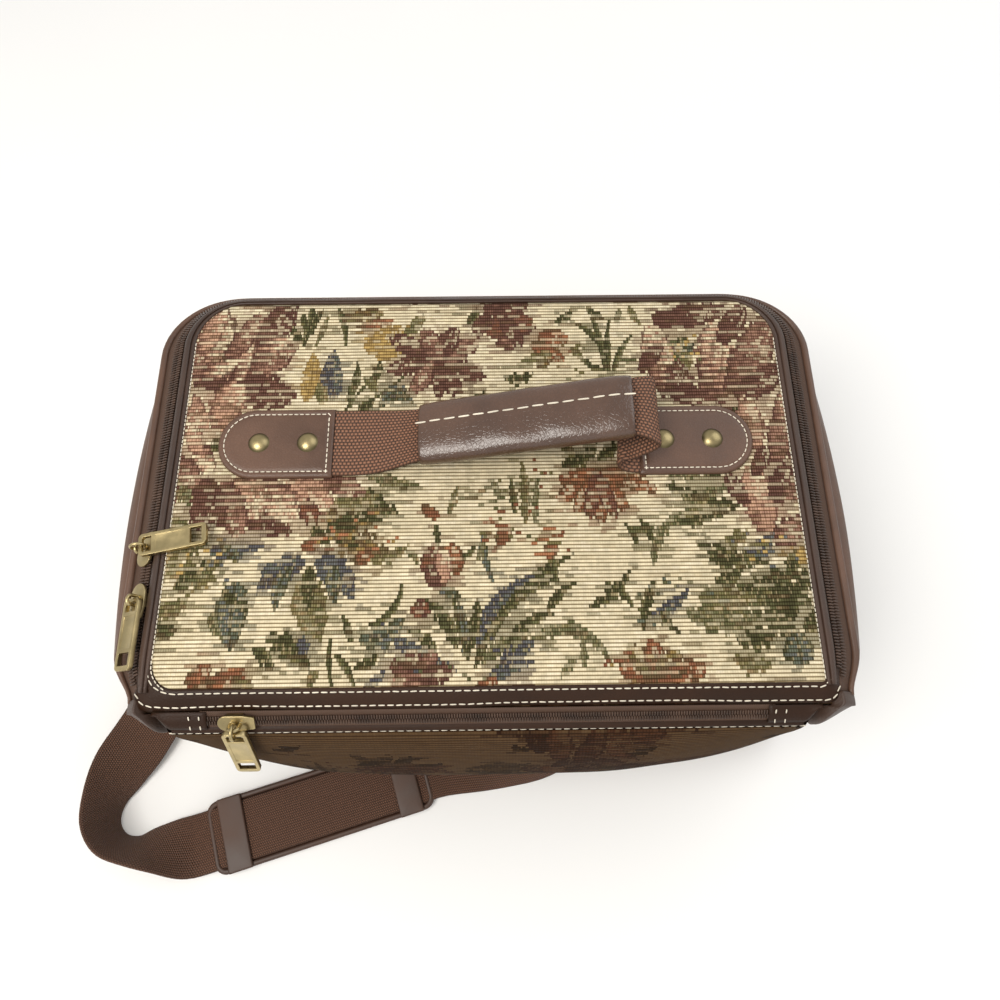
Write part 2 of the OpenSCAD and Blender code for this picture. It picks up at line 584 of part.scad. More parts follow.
function end_tab_section(x) = let (
  s0 = 2 * clear - shelf_l / 2,
  s1 = s0 + (shelf_l - 2 * binding_r - 2 * clear) * max(end_tab_tip_share, pocket_lip(x, 1) / shelf_run))
  [for (q = [[s0, 0], [s1, 0], [s1, vinyl_t], [s0, vinyl_t]])
    let (p = shelf_at(q[0], q[1])) [x, p[0], p[1]]];
module pocket_end_tab(side) color("sienna") mirror([side > 0 ? 0 : 1, 0, 0])
  sweep([for (i = [0 : end_tab_steps])
    end_tab_section(pocket_zip_l / 2 + (pocket_half - pocket_zip_l / 2) * i / end_tab_steps)]);
module pocket_end_tab_left() pocket_end_tab(-1);
module pocket_end_tab_right() pocket_end_tab(1);

// Shoulder strap
module at_strap_tab(side) translate([side * (lid_w / 2 + wall_g + side_bow + clear), strap_y, strap_tab_z])
  rotate([90, -90, 0]) rotate([side * 90, 0, 0]) children();
module strap_tab_left() color("sienna") at_strap_tab(-1) tab();
module strap_tab_right() color("sienna") at_strap_tab(1) tab();
module strap_rivets() color("gold") for (side = [-1, 1]) at_strap_tab(side) tab_rivets();

pad_z = pad_t + web_slot / 2;
function pad_end(side) = let (l = side * (pad_l / 2 + pad_lead))
  [pad_place[0] + l * cos(pad_turn), pad_place[1] + l * sin(pad_turn), pad_z];
function places(shares) = [for (s = shares) [s[0] * strap_x + s[1] * web_w,
  hinge_y + s[2] * (strap_y - hinge_y) + s[3] * web_w, s[4] * web_w]];
function widths(shares) = [for (s = shares) [s[5], s[6], s[7]]];
module strap_webbing() color("saddlebrown") {
  flat = [sin(pad_turn), -cos(pad_turn), 0];
  ends = [for (side = [-1, 1]) [for (z = [seat, strap_lead]) [side * strap_x, strap_y, strap_tab_z - z]]];
  p = concat(ends[0], places(strap_left_shares), [pad_end(-1), pad_end(1)],
    places(strap_right_shares), [ends[1][1], ends[1][0]]);
  back = [0, 1, 0];
  w = concat([back, back], widths(strap_left_shares), [flat, flat],
    widths(strap_right_shares), [back, back]);
  sweep(ribbon_sections(p, w, [for (q = p) web_w], web_t));
}
module strap_pad() color("saddlebrown") translate([pad_place[0], pad_place[1], 0]) rotate([0, 0, pad_turn]) {
  rail_w = (pad_w - web_channel) / 2;
  linear_extrude(pad_t) translate([0, -pad_w / 2]) plan(pad_l / 2, 0, pad_w, pad_corner_r, pad_corner_r);
  for (side = [-1, 1]) translate([pad_corner_r - pad_l / 2, side * (pad_w - rail_w) / 2 - rail_w / 2, pad_t])
    cube([pad_l - 2 * pad_corner_r, rail_w, web_slot]);
  band_x = pad_l / 2 - pad_band_in - pad_band_l / 2;
  for (side = [-1, 1]) translate([side * band_x - pad_band_l / 2, -pad_w / 2, pad_t + web_slot])
    cube([pad_band_l, pad_w, pad_band_t]);
}

// Lid and the lid's half of the zip
module lid_panel() color("wheat") translate([0, 0, case_h - lid_t]) linear_extrude(lid_t)
  plan(lid_w / 2, lid_front, lid_back, lid_front_r, lid_back_r);
module lid_lining() color("dimgray") translate([0, 0, case_h - lid_t - lining_t]) linear_extrude(lining_t)
  plan(lid_w / 2 - clear, lid_front + clear, lid_back - clear, lid_front_r, lid_back_r);
module lid_piping() color("sienna")
  u_run(round_profile([lid_piping_r + seat, case_h - lid_piping_r], lid_piping_r), lid_strip_front);
// The hinge trim along the front, turned round the lid's two front corners
module lid_trim() color("sienna") {
  a = atan2(trim_drop, trim_run);
  in = vinyl_t * [-sin(a), -cos(a)];
  top = [seat, case_h] - [in[0], 0];
  low = [trim_run, hinge_z];
  profile = [top, low, low + in, top + in];
  translate([-lid_w / 2, lid_front, 0]) rotate([90, 0, 90]) linear_extrude(lid_w)
    polygon([for (q = profile) [-q[0], q[1]]]);
  for (side = [0, 1]) mirror([side, 0, 0]) translate([lid_w / 2, lid_front, 0]) rotate([0, 0, -90])
    rotate_extrude(angle = 90) polygon(profile);
}
module lid_skirt() color("sienna") u_run(slope_strip(skirt_s, -vinyl_s, 0, vinyl_t), lid_strip_front);
module lid_zip_tape() color("saddlebrown")
  u_run(slope_strip(lid_tape_s, -zip_gap / 2, -tape_t, 0), lid_strip_front);
module lid_zip_coil() color("saddlebrown")
  u_run(slope_strip(-coil_w, -zip_gap / 2, 0, coil_h), lid_strip_front);

// Handle
module at_handle_tab(side) translate([side * handle_span / 2, lid_y + handle_y, case_h])
  mirror([side > 0 ? 0 : 1, 0, 0]) children();
module handle_tab_left() color("sienna") at_handle_tab(-1) tab();
module handle_tab_right() color("sienna") at_handle_tab(1) tab();
module handle_rivets() color("gold") for (side = [-1, 1]) at_handle_tab(side) tab_rivets();
function handle_point(s) = [s[0] * (handle_span / 2 - seat), lid_y + handle_y + s[3] * handle_skew,
  case_h + web_t / 2 + seat + s[1] * grip_rise];
handle_path = [for (s = handle_path_shares) handle_point(s)];
module handle_webbing() color("saddlebrown")
  sweep(ribbon_sections(handle_path, [for (p = handle_path) [0, 1, 0]],
    [for (s = handle_path_shares) s[2] * web_w], web_t));
function grip_ring(i, w, h) = let (d = headings(handle_path)[i], up = unit(cross(d, [0, 1, 0])))
  [for (k = [0 : grip_sides - 1]) let (a = 360 * k / grip_sides, c = cos(a), s = sin(a))
    handle_path[i] + [0, 1, 0] * w / 2 * sign(c) * pow(abs(c), grip_square_share)
      + up * h / 2 * sign(s) * pow(abs(s), grip_square_share)];
module handle_grip() color("sienna") difference() {
  sweep([for (i = [grip_first : grip_last]) grip_ring(i, grip_w, grip_h)]);
  sweep(ribbon_sections(handle_path, [for (p = handle_path) [0, 1, 0]],
    [for (s = handle_path_shares) s[2] * web_w + 2 * grip_room], web_t + 2 * grip_room));
}

// Sliders, links and pulls
module rear_slider() color("gold") at_rear_slider() slider(slider_w);
module front_slider() color("gold") at_front_slider() slider(slider_w);
module pocket_slider() color("gold") at_pocket_slider() slider(pocket_slider_w);
module rear_link() color("gold") at_rear_pivot() link(rear_link_off);
module pocket_link() color("gold") at_pocket_pivot() link(link_off);
module rear_pull() color("gold") at_rear_pivot() translate([2 * rear_link_off, 0, 0]) pull();
module front_pull() color("gold") at_front_pivot() pull();
module pocket_pull() color("gold") at_pocket_pivot() translate([2 * link_off, 0, 0]) pull();

base_panel();
base_board();
lining();
left_wall();
right_wall();
back_wall();
front_wall();
case_band();
case_piping();
case_zip_tape();
case_zip_coil();
pocket_panel();
pocket_binding();
pocket_zip_tape();
pocket_zip_coil();
pocket_end_tab_left();
pocket_end_tab_right();
zip_end_left();
zip_end_right();
strap_tab_left();
strap_tab_right();
strap_rivets();
strap_webbing();
strap_pad();
lid_panel();
lid_lining();
lid_piping();
lid_trim();
lid_skirt();
lid_zip_tape();
lid_zip_coil();
handle_tab_left();
handle_tab_right();
handle_rivets();
handle_webbing();
handle_grip();
rear_slider();
rear_link();
rear_pull();
front_slider();
front_pull();
pocket_slider();
pocket_link();
pocket_pull();
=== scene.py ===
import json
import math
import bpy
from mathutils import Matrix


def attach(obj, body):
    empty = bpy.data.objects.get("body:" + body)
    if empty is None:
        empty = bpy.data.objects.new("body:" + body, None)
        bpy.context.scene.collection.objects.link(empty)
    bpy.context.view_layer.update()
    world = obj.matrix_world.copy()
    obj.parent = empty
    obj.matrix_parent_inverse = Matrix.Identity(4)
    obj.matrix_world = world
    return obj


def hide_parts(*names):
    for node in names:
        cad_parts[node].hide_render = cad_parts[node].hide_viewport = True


bl_info = {
    "name": "Tapestry Overnight Case",
    "version": (1, 0, 0),
    "blender": (4, 5, 0),
    "location": "View3D > Sidebar > Case",
    "description": "Builds the cloth, vinyl, webbing, zips and stitching of a tapestry overnight case",
    "category": "Object",
}

import bmesh
import bpy
import numpy as np
from mathutils import Matrix, Vector

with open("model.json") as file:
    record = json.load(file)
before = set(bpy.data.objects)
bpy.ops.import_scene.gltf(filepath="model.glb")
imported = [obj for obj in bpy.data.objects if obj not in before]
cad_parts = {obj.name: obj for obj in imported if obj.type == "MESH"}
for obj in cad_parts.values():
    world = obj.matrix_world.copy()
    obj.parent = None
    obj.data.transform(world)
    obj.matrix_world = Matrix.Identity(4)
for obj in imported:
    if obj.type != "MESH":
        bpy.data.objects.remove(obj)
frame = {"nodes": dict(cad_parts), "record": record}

MM = 0.001

# Sizes of the frame, in millimetres, as in its source
LID_W, LID_D, CASE_H = 330.0, 220.0, 175.0
BACK_R, FRONT_R, BACK_SHARE = 27.0, 3.0, 0.5
ZIP_RUN, ZIP_DROP, TAPE_W, TAPE_T, COIL_W = 10.0, 6.5, 11.0, 0.8, 4.0
TRIM_RUN, TRIM_DROP = 8.0, 7.0
PIPING_R, LID_PIPING_R, VINYL_T = 2.0, 1.0, 1.6
ZIP_END_RUN, ZIP_END_DROP = 8.0, 26.0
WALL_T, BAND_H, SIDE_BOW, BACK_BOW, BASE_INSET, BASE_T, BOARD_T = 4.0, 22.0, 12.0, 4.0, 9.0, 4.0, 3.0
SWELL, SHELF_RUN, SHELF_DROP, POCKET_BOTTOM, BINDING_R = 27.0, 8.0, 7.0, 40.0, 1.6
POCKET_IN, POCKET_ZIP_IN, END_TAB_L = 2.0, 23.0, 15.0
HANDLE_SPAN, TAB_L, TAB_W, TAB_T, HANDLE_Y = 163.0, 62.0, 40.0, 2.5, 20.0
WEB_W, WEB_T, GRIP_RISE, GRIP_W, GRIP_H, HANDLE_SKEW = 38.0, 2.0, 28.0, 35.0, 14.0, 6.0
STRAP_FWD, STRAP_TAB_Z = 18.0, 70.0
PAD_L, PAD_W, PAD_T, PAD_BAND_L, PAD_SIDE, PAD_FWD, PAD_TURN = 146.0, 46.0, 3.0, 16.0, 88.0, 46.0, 16.5
CLEAR, SEAT = 0.3, 0.1

# Rounding of the lid's left front corner, and shares by which the soft front corners are drawn in
LEFT_R, CORNER_RUN, LEFT_IN, RIGHT_IN = 14.0, 26.0, 0.45, 0.28
# Pitch of the wall cloth's threads, step of the trims, and the lining's distance from wall, board and lid
WALL_PITCH, TRIM_STEP, LINING_IN, LINING_UP, LID_LINING_DROP = 1.1, 3.0, 1.8, 1.0, 5.6
# Point of the lid, from its middle, at which the camera looks, and half the floor's side in metres
AIM_X, AIM_Y, FLOOR_HALF = 7.11, -13.18, 4.0

SLOPE = math.atan2(ZIP_DROP, ZIP_RUN)
SLOPE_L = math.hypot(ZIP_RUN, ZIP_DROP)
ZIP_Z = CASE_H - ZIP_DROP
VINYL_S = 5.5 + 2 * CLEAR
SKIRT_S = (LID_PIPING_R + SEAT) * (1 + 1 / math.cos(SLOPE)) - SLOPE_L
LID_TAPE_S = max(-VINYL_S - COIL_W, SKIRT_S + TAPE_T)
PIPING_S = TAPE_W + PIPING_R
BAND_S = PIPING_S + PIPING_R + SEAT
WALL_G = ZIP_RUN + BAND_S * math.cos(SLOPE)
BAND_Z = ZIP_Z - PIPING_S * math.sin(SLOPE) - PIPING_R - SEAT
WALL_Z = BAND_Z - BAND_H
LID_Y = (TRIM_RUN + SWELL - WALL_G * BACK_SHARE - BACK_BOW) / 2
LID_FRONT, LID_BACK = LID_Y - LID_D / 2, LID_Y + LID_D / 2
HINGE_Y, HINGE_Z = LID_FRONT - TRIM_RUN, CASE_H - TRIM_DROP
FRONT_IN = HINGE_Y + WALL_T
STRIP_FRONT, LID_STRIP_FRONT = FRONT_IN + CLEAR, LID_FRONT + CLEAR
SHELF = math.atan2(SHELF_DROP, SHELF_RUN)
SHELF_L = math.hypot(SHELF_RUN, SHELF_DROP)
POCKET_TOP = HINGE_Z - SHELF_DROP - BINDING_R
POCKET_HALF = LID_W / 2 - POCKET_IN
POCKET_ZIP = POCKET_HALF - POCKET_ZIP_IN
POCKET_FLAT = POCKET_ZIP + END_TAB_L
STRAP_X = LID_W / 2 + WALL_G + SIDE_BOW + TAB_T / 2
STRAP_Y = LID_Y - STRAP_FWD

WALL_SHARES = [(0, 1, 0.2), (0.12, 0.5, 0.5), (0.35, 0.12, 0.85), (0.65, 0, 1), (1, 0, 1)]
BAND_SHARES = [(0, 1), (0.5, 0.9), (0.85, 0.6), (1, 0.15)]
HANDLE_SHARES = [
    (-1, 0, 1, 0), (-0.86, 0, 1, 0), (-0.7, 0.04, 0.96, 0.05), (-0.55, 0.13, 0.86, 0.15),
    (-0.42, 0.24, 0.8, 0.22), (-0.2, 0.37, 0.8, 0.35), (0.05, 0.52, 0.8, 0.5),
    (0.3, 0.67, 0.8, 0.65), (0.55, 0.82, 0.8, 0.8), (0.8, 0.96, 0.8, 0.95), (0.92, 1, 0.84, 1),
    (1, 0.97, 0.92, 1), (1.06, 0.87, 1, 1), (1.08, 0.74, 1, 0.95), (1.05, 0.6, 1, 0.85),
    (0.97, 0.44, 1, 0.65), (0.9, 0.3, 1, 0.45), (0.87, 0.18, 1, 0.25), (0.9, 0.07, 1, 0.1),
    (0.95, 0.01, 1, 0), (1, 0, 1, 0),
]
# The strap's route on each side of the pad: shares of the tab's place and of the webbing's width, then the
# direction of the webbing's width
STRAP_LEFT = [
    (-1, -0.175, 0.971, 0, 1.474, 0, 1, 0), (-1, -0.227, 0.891, 0, 1.105, -0.1, 1, -0.1),
    (-1, -0.329, 0.751, 0, 0.737, -0.3, 0.95, -0.2), (-1, -0.432, 0.571, 0, 0.474, -0.5, 0.85, -0.1),
    (-1, -0.508, 0.371, 0, 0.342, -0.75, 0.65, 0.05), (-1, -0.637, 0.171, 0, 0.316, -0.85, 0.5, 0.15),
    (-1, -0.871, 0, -0.077, 0.342, -0.8, 0.5, 0.3), (-1, -1.108, 0, -0.551, 0.421, -0.65, 0.4, 0.65),
    (-1, -1.265, 0, -1.025, 0.5, -0.35, 0.1, 0.93), (-1, -1.265, 0, -1.446, 0.526, -0.2, -0.05, 0.98),
    (-1, -1.029, 0, -1.762, 0.526, -0.1, -0.2, 0.97), (-1, -0.634, 0, -1.867, 0.474, 0, -0.4, 0.92),
    (-1, -0.239, 0, -1.867, 0.316, 0.1, -0.75, 0.65), (-1, 0.05, 0, -1.854, 0.184, 0.25, -0.95, 0.2),
]
STRAP_RIGHT = [
    (-0.068, 0, 0, -0.54, 0.184, 0.25, -0.95, -0.1), (0.039, 0, 0, -0.515, 0.263, 0.15, -0.85, -0.45),
    (0.156, 0, 0, -0.446, 0.382, 0.05, -0.7, -0.65), (0.292, 0, 0, -0.29, 0.474, 0, -0.4, -0.9),
    (0.448, 0, 0, -0.156, 0.516, 0, -0.15, -1), (0.633, 0, 0, -0.088, 0.516, 0, 0, -1),
    (0.803, 0, 0, -0.088, 0.516, 0, 0, -1), (1, -0.404, 0, -0.117, 0.516, 0.05, 0, -1),
    (1, -0.115, 0.006, 0, 0.521, 0.05, 0, -1), (1, 0.017, 0.121, 0, 0.526, 0.05, 0, -1),
    (1, 0.069, 0.291, 0, 0.553, 0.1, 0, -1), (1, 0.122, 0.491, 0, 0.632, 0.15, 0.2, -0.95),
    (1, 0.148, 0.671, 0, 0.816, 0.25, 0.6, -0.75), (1, 0.148, 0.811, 0, 1.105, 0.2, 0.85, -0.5),
    (1, 0.083, 0.921, 0, 1.421, 0.1, 0.98, -0.15),
]
ZIP_END_SHARES = [(0, 0, 0), (0.4, 0.1, 0.5), (0.8, 0.3, 0.9), (1, 0.6, 1), (0.85, 1, 1)]


def linear(r, g, b):
    """A colour given in screen values from 0 to 255, as linear light."""
    return tuple(((c / 255 + 0.055) / 1.055) ** 2.4 if c > 10 else c / 255 / 12.92 for c in (r, g, b))


# Settings


class CASE_PG_cloth(bpy.types.PropertyGroup):
    rib_pitch: bpy.props.FloatProperty(
        name="Rib Pitch", description="Distance between the tapestry's ribs", default=1.95 * MM,
        unit="LENGTH"
    )
    thread_pitch: bpy.props.FloatProperty(
        name="Thread Pitch", description="Distance between coloured threads along a rib", default=0.62 * MM,
        unit="LENGTH"
    )
    seed: bpy.props.IntProperty(name="Seed", description="Seed of the woven irregularities", default=7)


class CASE_PG_sewing(bpy.types.PropertyGroup):
    stitch_pitch: bpy.props.FloatProperty(
        name="Stitch Pitch", description="Distance between stitches", default=4.3 * MM, unit="LENGTH"
    )
    stitch_length: bpy.props.FloatProperty(
        name="Stitch Length", description="Length of one stitch", default=3.3 * MM, unit="LENGTH"
    )
    stitch_width: bpy.props.FloatProperty(
        name="Stitch Width", description="Thickness of the sewing thread", default=0.75 * MM, unit="LENGTH"
    )
    tooth_pitch: bpy.props.FloatProperty(
        name="Tooth Pitch", description="Distance between the zip's teeth", default=1.55 * MM, unit="LENGTH"
    )


class CASE_PG_look(bpy.types.PropertyGroup):
    vinyl: bpy.props.FloatVectorProperty(
        name="Vinyl", description="Colour of the vinyl", default=linear(98, 70, 54), subtype="COLOR",
        size=3, min=0, max=1
    )
    webbing: bpy.props.FloatVectorProperty(
        name="Webbing", description="Colour of the webbing", default=linear(102, 70, 52), subtype="COLOR",
        size=3, min=0, max=1
    )
    tape: bpy.props.FloatVectorProperty(
        name="Zip Tape", description="Colour of the zip's tape", default=linear(74, 53, 40),
        subtype="COLOR", size=3, min=0, max=1
    )
    brass: bpy.props.FloatVectorProperty(
        name="Brass", description="Colour of the metal parts", default=linear(196, 178, 132),
        subtype="COLOR", size=3, min=0, max=1
    )
    thread: bpy.props.FloatVectorProperty(
        name="Sewing Thread", description="Colour of the stitches", default=linear(236, 226, 206),
        subtype="COLOR", size=3, min=0, max=1
    )


class CASE_PG_stage(bpy.types.PropertyGroup):
    lens: bpy.props.FloatProperty(name="Lens", description="Focal length on a 36 mm sensor", default=28.08)
    elevation: bpy.props.FloatProperty(
        name="Elevation", description="Height of the camera's line of sight", default=math.radians(69.7),
        subtype="ANGLE"
    )
    azimuth: bpy.props.FloatProperty(
        name="Azimuth", description="Turn of the camera round the case", default=math.radians(-1.01),
        subtype="ANGLE"
    )
    roll: bpy.props.FloatProperty(
        name="Roll", description="Roll of the camera", default=math.radians(0.32), subtype="ANGLE"
    )
    distance: bpy.props.FloatProperty(
        name="Distance", description="Distance from the camera to its target", default=408.9 * MM,
        unit="LENGTH"
    )


# Shader graphs


class Sock:
    """A shader socket that takes part in plain arithmetic."""

    def __init__(self, graph, socket):
        self.graph, self.socket = graph, socket

    def __add__(self, o):
        return self.graph.math("ADD", self, o)

    def __sub__(self, o):
        return self.graph.math("SUBTRACT", self, o)

    def __mul__(self, o):
        return self.graph.math("MULTIPLY", self, o)

    def __rsub__(self, o):
        return self.graph.math("SUBTRACT", o, self)

    __radd__, __rmul__ = __add__, __mul__

    def fract(self):
        return self.graph.math("FRACT", self)

    def floor(self):
        return self.graph.math("FLOOR", self)

    def abs(self):
        return self.graph.math("ABSOLUTE", self)

    def hump(self):
        """1 in the middle of each unit step and 0 at its ends."""
        a = self.fract() * 2 - 1
        return 1 - a * a

    def ramp(self, low, high, to_low=0.0, to_high=1.0):
        return self.graph.node(
            "ShaderNodeMapRange",
            {"Value": self, "From Min": low, "From Max": high, "To Min": to_low, "To Max": to_high},
            interpolation_type="SMOOTHSTEP",
        )


class Graph:
    """The node tree of one material, built from expressions."""

    def __init__(self, name):
        self.material = bpy.data.materials.new(name)
        self.material.use_nodes = True
        self.tree = self.material.node_tree
        self.shader = self.tree.nodes["Principled BSDF"]

    def link(self, value, socket):
        if isinstance(value, Sock):
            self.tree.links.new(value.socket, socket)
        elif hasattr(socket.default_value, "__len__") and len(value) == 3 and len(socket.default_value) == 4:
            socket.default_value = (*value, 1.0)
        else:
            socket.default_value = value

    def node(self, kind, inputs=None, out=0, **settings):
        made = self.tree.nodes.new(kind)
        for key, value in settings.items():
            setattr(made, key, value)
        for key, value in (inputs or {}).items():
            self.link(value, made.inputs[key])
        return Sock(self, made.outputs[out])

    def math(self, operation, *values):
        return self.node("ShaderNodeMath", dict(enumerate(values)), operation=operation)

    def place(self):
        return self.node("ShaderNodeTexCoord", out="Object")

    def threads(self):
        """The two coordinates of the piece's own map."""
        uv = self.node("ShaderNodeUVMap", uv_map="Threads")
        return [self.node("ShaderNodeSeparateXYZ", {0: uv}, out=i) for i in (0, 1)]

    def noise(self, scale, detail=2.0, rough=0.5, where=None):
        return self.node(
            "ShaderNodeTexNoise",
            {"Vector": where or self.place(), "Scale": scale, "Detail": detail, "Roughness": rough}
        )

    def cells(self, scale, feature="F1"):
        return self.node("ShaderNodeTexVoronoi", {"Vector": self.place(), "Scale": scale}, feature=feature)

    def mix(self, share, a, b, blend="MIX"):
        return self.node("ShaderNodeMix", {0: share, 6: a, 7: b}, out=2, data_type="RGBA", blend_type=blend)

    def bump(self, height, strength, distance):
        return self.node(
            "ShaderNodeBump", {"Height": height, "Strength": strength, "Distance": distance}, out="Normal"
        )

    def set(self, **values):
        for key, value in values.items():
            self.link(value, self.shader.inputs[key.replace("_", " ").title().replace("Ior", "IOR")])
        return self.material


def shades(colour, *factors):
    """The same colour at several strengths."""
    return [tuple(c * f for c in colour) for f in factors]


def tapestry_material(name, shade=None):
    """Ribbed tapestry; a shade, when given, mutes the whole cloth towards one colour and darkens it: painted
    shade for cloth that lies in shade.
    """
    g = Graph(name)
    u, v = g.threads()
    weave = g.node("ShaderNodeVertexColor", layer_name="weave")
    pale = g.node("ShaderNodeRGBToBW", {0: weave})
    across = (v.fract() * 2 - 1).abs()
    gap = across.ramp(0.42, 0.86)
    slub = g.noise(260.0, 3.0, 0.6)
    warp = ((u * 0.5).fract() * 2 - 1).abs().ramp(0.4, 0.9)
    # deep is the weave darkened and browned. In the gaps between ribs it stands for the brown warp and also
    # for painted shade in the grooves; between threads along a rib it stands for the warp.
    deep = g.mix(1.0, weave, (0.26, 0.205, 0.125), "MULTIPLY")
    colour = g.mix(gap * 0.92, weave, deep)
    colour = g.mix(warp * pale.ramp(0.06, 0.55, 0.8, 0.16), colour, deep)
    tone = slub.ramp(0.3, 0.7, 0.86, 1.1)
    colour = g.mix(1.0, colour, g.node("ShaderNodeCombineXYZ", {0: tone, 1: tone, 2: tone}), "MULTIPLY")
    if shade:
        # Painted shade: the cloth is muted towards the colour of the cloth in shade, then darkened.
        colour = g.mix(0.32, colour, shade)
        colour = g.mix(1.0, colour, (0.15, 0.102, 0.07), "MULTIPLY")
    height = (1 - across * across) * 0.7 + u.hump() * 0.22 + slub * 0.25
    g.set(specular_ior_level=0.12)
    return g.set(
        base_color=colour, roughness=slub.ramp(0.2, 0.8, 0.8, 0.95), normal=g.bump(height, 0.8, 0.0006)
    )


def vinyl_material(name, colour, rough=0.42, grain=1500.0, depth=0.0002, coat=0.0, shine=0.5):
    g = Graph(name)
    g.set(coat_weight=coat, coat_roughness=0.28, specular_ior_level=shine)
    pebbles = g.cells(grain)
    creases = g.cells(grain * 0.45, "DISTANCE_TO_EDGE").ramp(0.0, 0.2)
    cloud = g.noise(22.0, 4.0, 0.6)
    wrinkle = g.noise(70.0, 3.0, 0.6)
    dark, pale = shades(colour, 0.74, 1.2)
    base = g.mix(cloud.ramp(0.3, 0.72), dark, pale)
    # Painted shade: the vinyl is darker along the grain's creases, where the bump sinks.
    base = g.mix((1 - creases) * 0.2, base, shades(colour, 0.5)[0])
    height = creases * 0.35 + pebbles * 0.35 + wrinkle * 1.6
    return g.set(
        base_color=base, roughness=cloud.ramp(0.25, 0.75, rough - 0.07, rough + 0.1),
        normal=g.bump(height, 0.55, depth)
    )


def webbing_material(name, colour, across=1.9, along=2.1, low=0.18, high=2.2):
    g = Graph(name)
    u, v = g.threads()
    ends = u * (1 / across)
    shift = (ends.floor() * 0.5).fract()
    picks = v * (1 / along) + shift
    knots = ends.hump() * picks.hump()
    fuzz = g.noise(600.0, 2.0, 0.6)
    tone = knots * 0.8 + fuzz * 0.35
    base = g.mix(tone.ramp(0.05, 1.0), *shades(colour, low, high))
    edge = (u * (1 / WEB_W) - 0.5).abs().ramp(0.455, 0.49)
    base = g.mix(edge * 0.35, base, shades(colour, 0.6)[0])
    return g.set(
        base_color=base, roughness=fuzz.ramp(0.2, 0.8, 0.62, 0.8),
        normal=g.bump(knots + fuzz * 0.2, 0.9, 0.0008)
    )


def tape_material(name, colour):
    g = Graph(name)
    u, v = g.threads()
    zigzag = ((u * (1 / 3.2)).fract() * 2 - 1).abs()
    twill = (v * (1 / 1.05) + zigzag * 1.6).hump()
    fuzz = g.noise(700.0, 2.0, 0.6)
    base = g.mix((twill * 0.8 + fuzz * 0.3).ramp(0.1, 1.0), shades(colour, 0.45)[0], shades(colour, 1.45)[0])
    return g.set(base_color=base, roughness=fuzz.ramp(0.2, 0.8, 0.6, 0.8), normal=g.bump(twill, 0.6, 0.0003))


def coil_material(name, colour):
    g = Graph(name)
    cloud = g.noise(90.0, 3.0)
    base = g.mix(cloud.ramp(0.3, 0.7), shades(colour, 0.62)[0], shades(colour, 1.25)[0])
    return g.set(
        base_color=base, roughness=cloud.ramp(0.3, 0.7, 0.34, 0.48),
        normal=g.bump(g.noise(900.0), 0.2, 0.0001)
    )


def brass_material(name, colour, rim=None):
    """Worn brass; rim is the height below which the metal is darker."""
    g = Graph(name)
    cloud = g.noise(120.0, 4.0, 0.6)
    scratch = g.noise(900.0, 2.0, 0.7)
    base = g.mix(cloud.ramp(0.35, 0.75), shades(colour, 0.74)[0], colour)
    if rim:
        height = g.node("ShaderNodeSeparateXYZ", {0: g.place()}, out=2)
        base = g.mix(height.ramp(rim, rim + 0.0016), shades(colour, 0.3)[0], base)
    g.set(metallic=1.0)
    return g.set(
        base_color=base, roughness=(cloud * 0.16 + scratch * 0.16).ramp(0.08, 0.26, 0.26, 0.46),
        normal=g.bump(scratch, 0.1, 0.0001)
    )


def thread_material(name, colour):
    g = Graph(name)
    twist = g.noise(2200.0, 1.0)
    dust = g.noise(60.0, 2.0)
    base = g.mix(dust.ramp(0.35, 0.75), shades(colour, 0.72)[0], colour)
    return g.set(
        base_color=base, roughness=twist.ramp(0.2, 0.8, 0.55, 0.8), normal=g.bump(twist, 0.5, 0.0003)
    )


def pad_material(name, colour):
    g = Graph(name)
    grain = g.noise(1200.0, 3.0, 0.6)
    cloud = g.noise(30.0, 3.0)
    base = g.mix(cloud.ramp(0.3, 0.7), shades(colour, 0.7)[0], shades(colour, 1.1)[0])
    return g.set(
        base_color=base, roughness=cloud.ramp(0.3, 0.7, 0.48, 0.62), normal=g.bump(grain, 0.35, 0.0002)
    )


def plain_cloth_material(name, colour, pitch=0.8):
    g = Graph(name)
    u, v = g.threads()
    weave = (u * (1 / pitch)).hump() * 0.5 + (v * (1 / pitch)).hump() * 0.5
    cloud = g.noise(25.0, 3.0)
    base = g.mix((weave * 0.6 + cloud * 0.5).ramp(0.2, 0.9), shades(colour, 0.6)[0], shades(colour, 1.2)[0])
    return g.set(
        base_color=base, roughness=cloud.ramp(0.3, 0.7, 0.7, 0.88), normal=g.bump(weave, 0.4, 0.0003)
    )


def board_material(name, colour):
    g = Graph(name)
    fibre = g.noise(220.0, 5.0, 0.7)
    base = g.mix(fibre.ramp(0.3, 0.7), shades(colour, 0.8)[0], shades(colour, 1.1)[0])
    return g.set(
        base_color=base, roughness=fibre.ramp(0.2, 0.8, 0.75, 0.92), normal=g.bump(fibre, 0.2, 0.0003)
    )


def floor_material(name):
    g = Graph(name)
    cloud = g.noise(6.0, 2.0)
    return g.set(
        base_color=g.mix(cloud, (0.86, 0.86, 0.855), (0.88, 0.88, 0.875)),
        roughness=cloud.ramp(0.2, 0.8, 0.7, 0.8)
    )


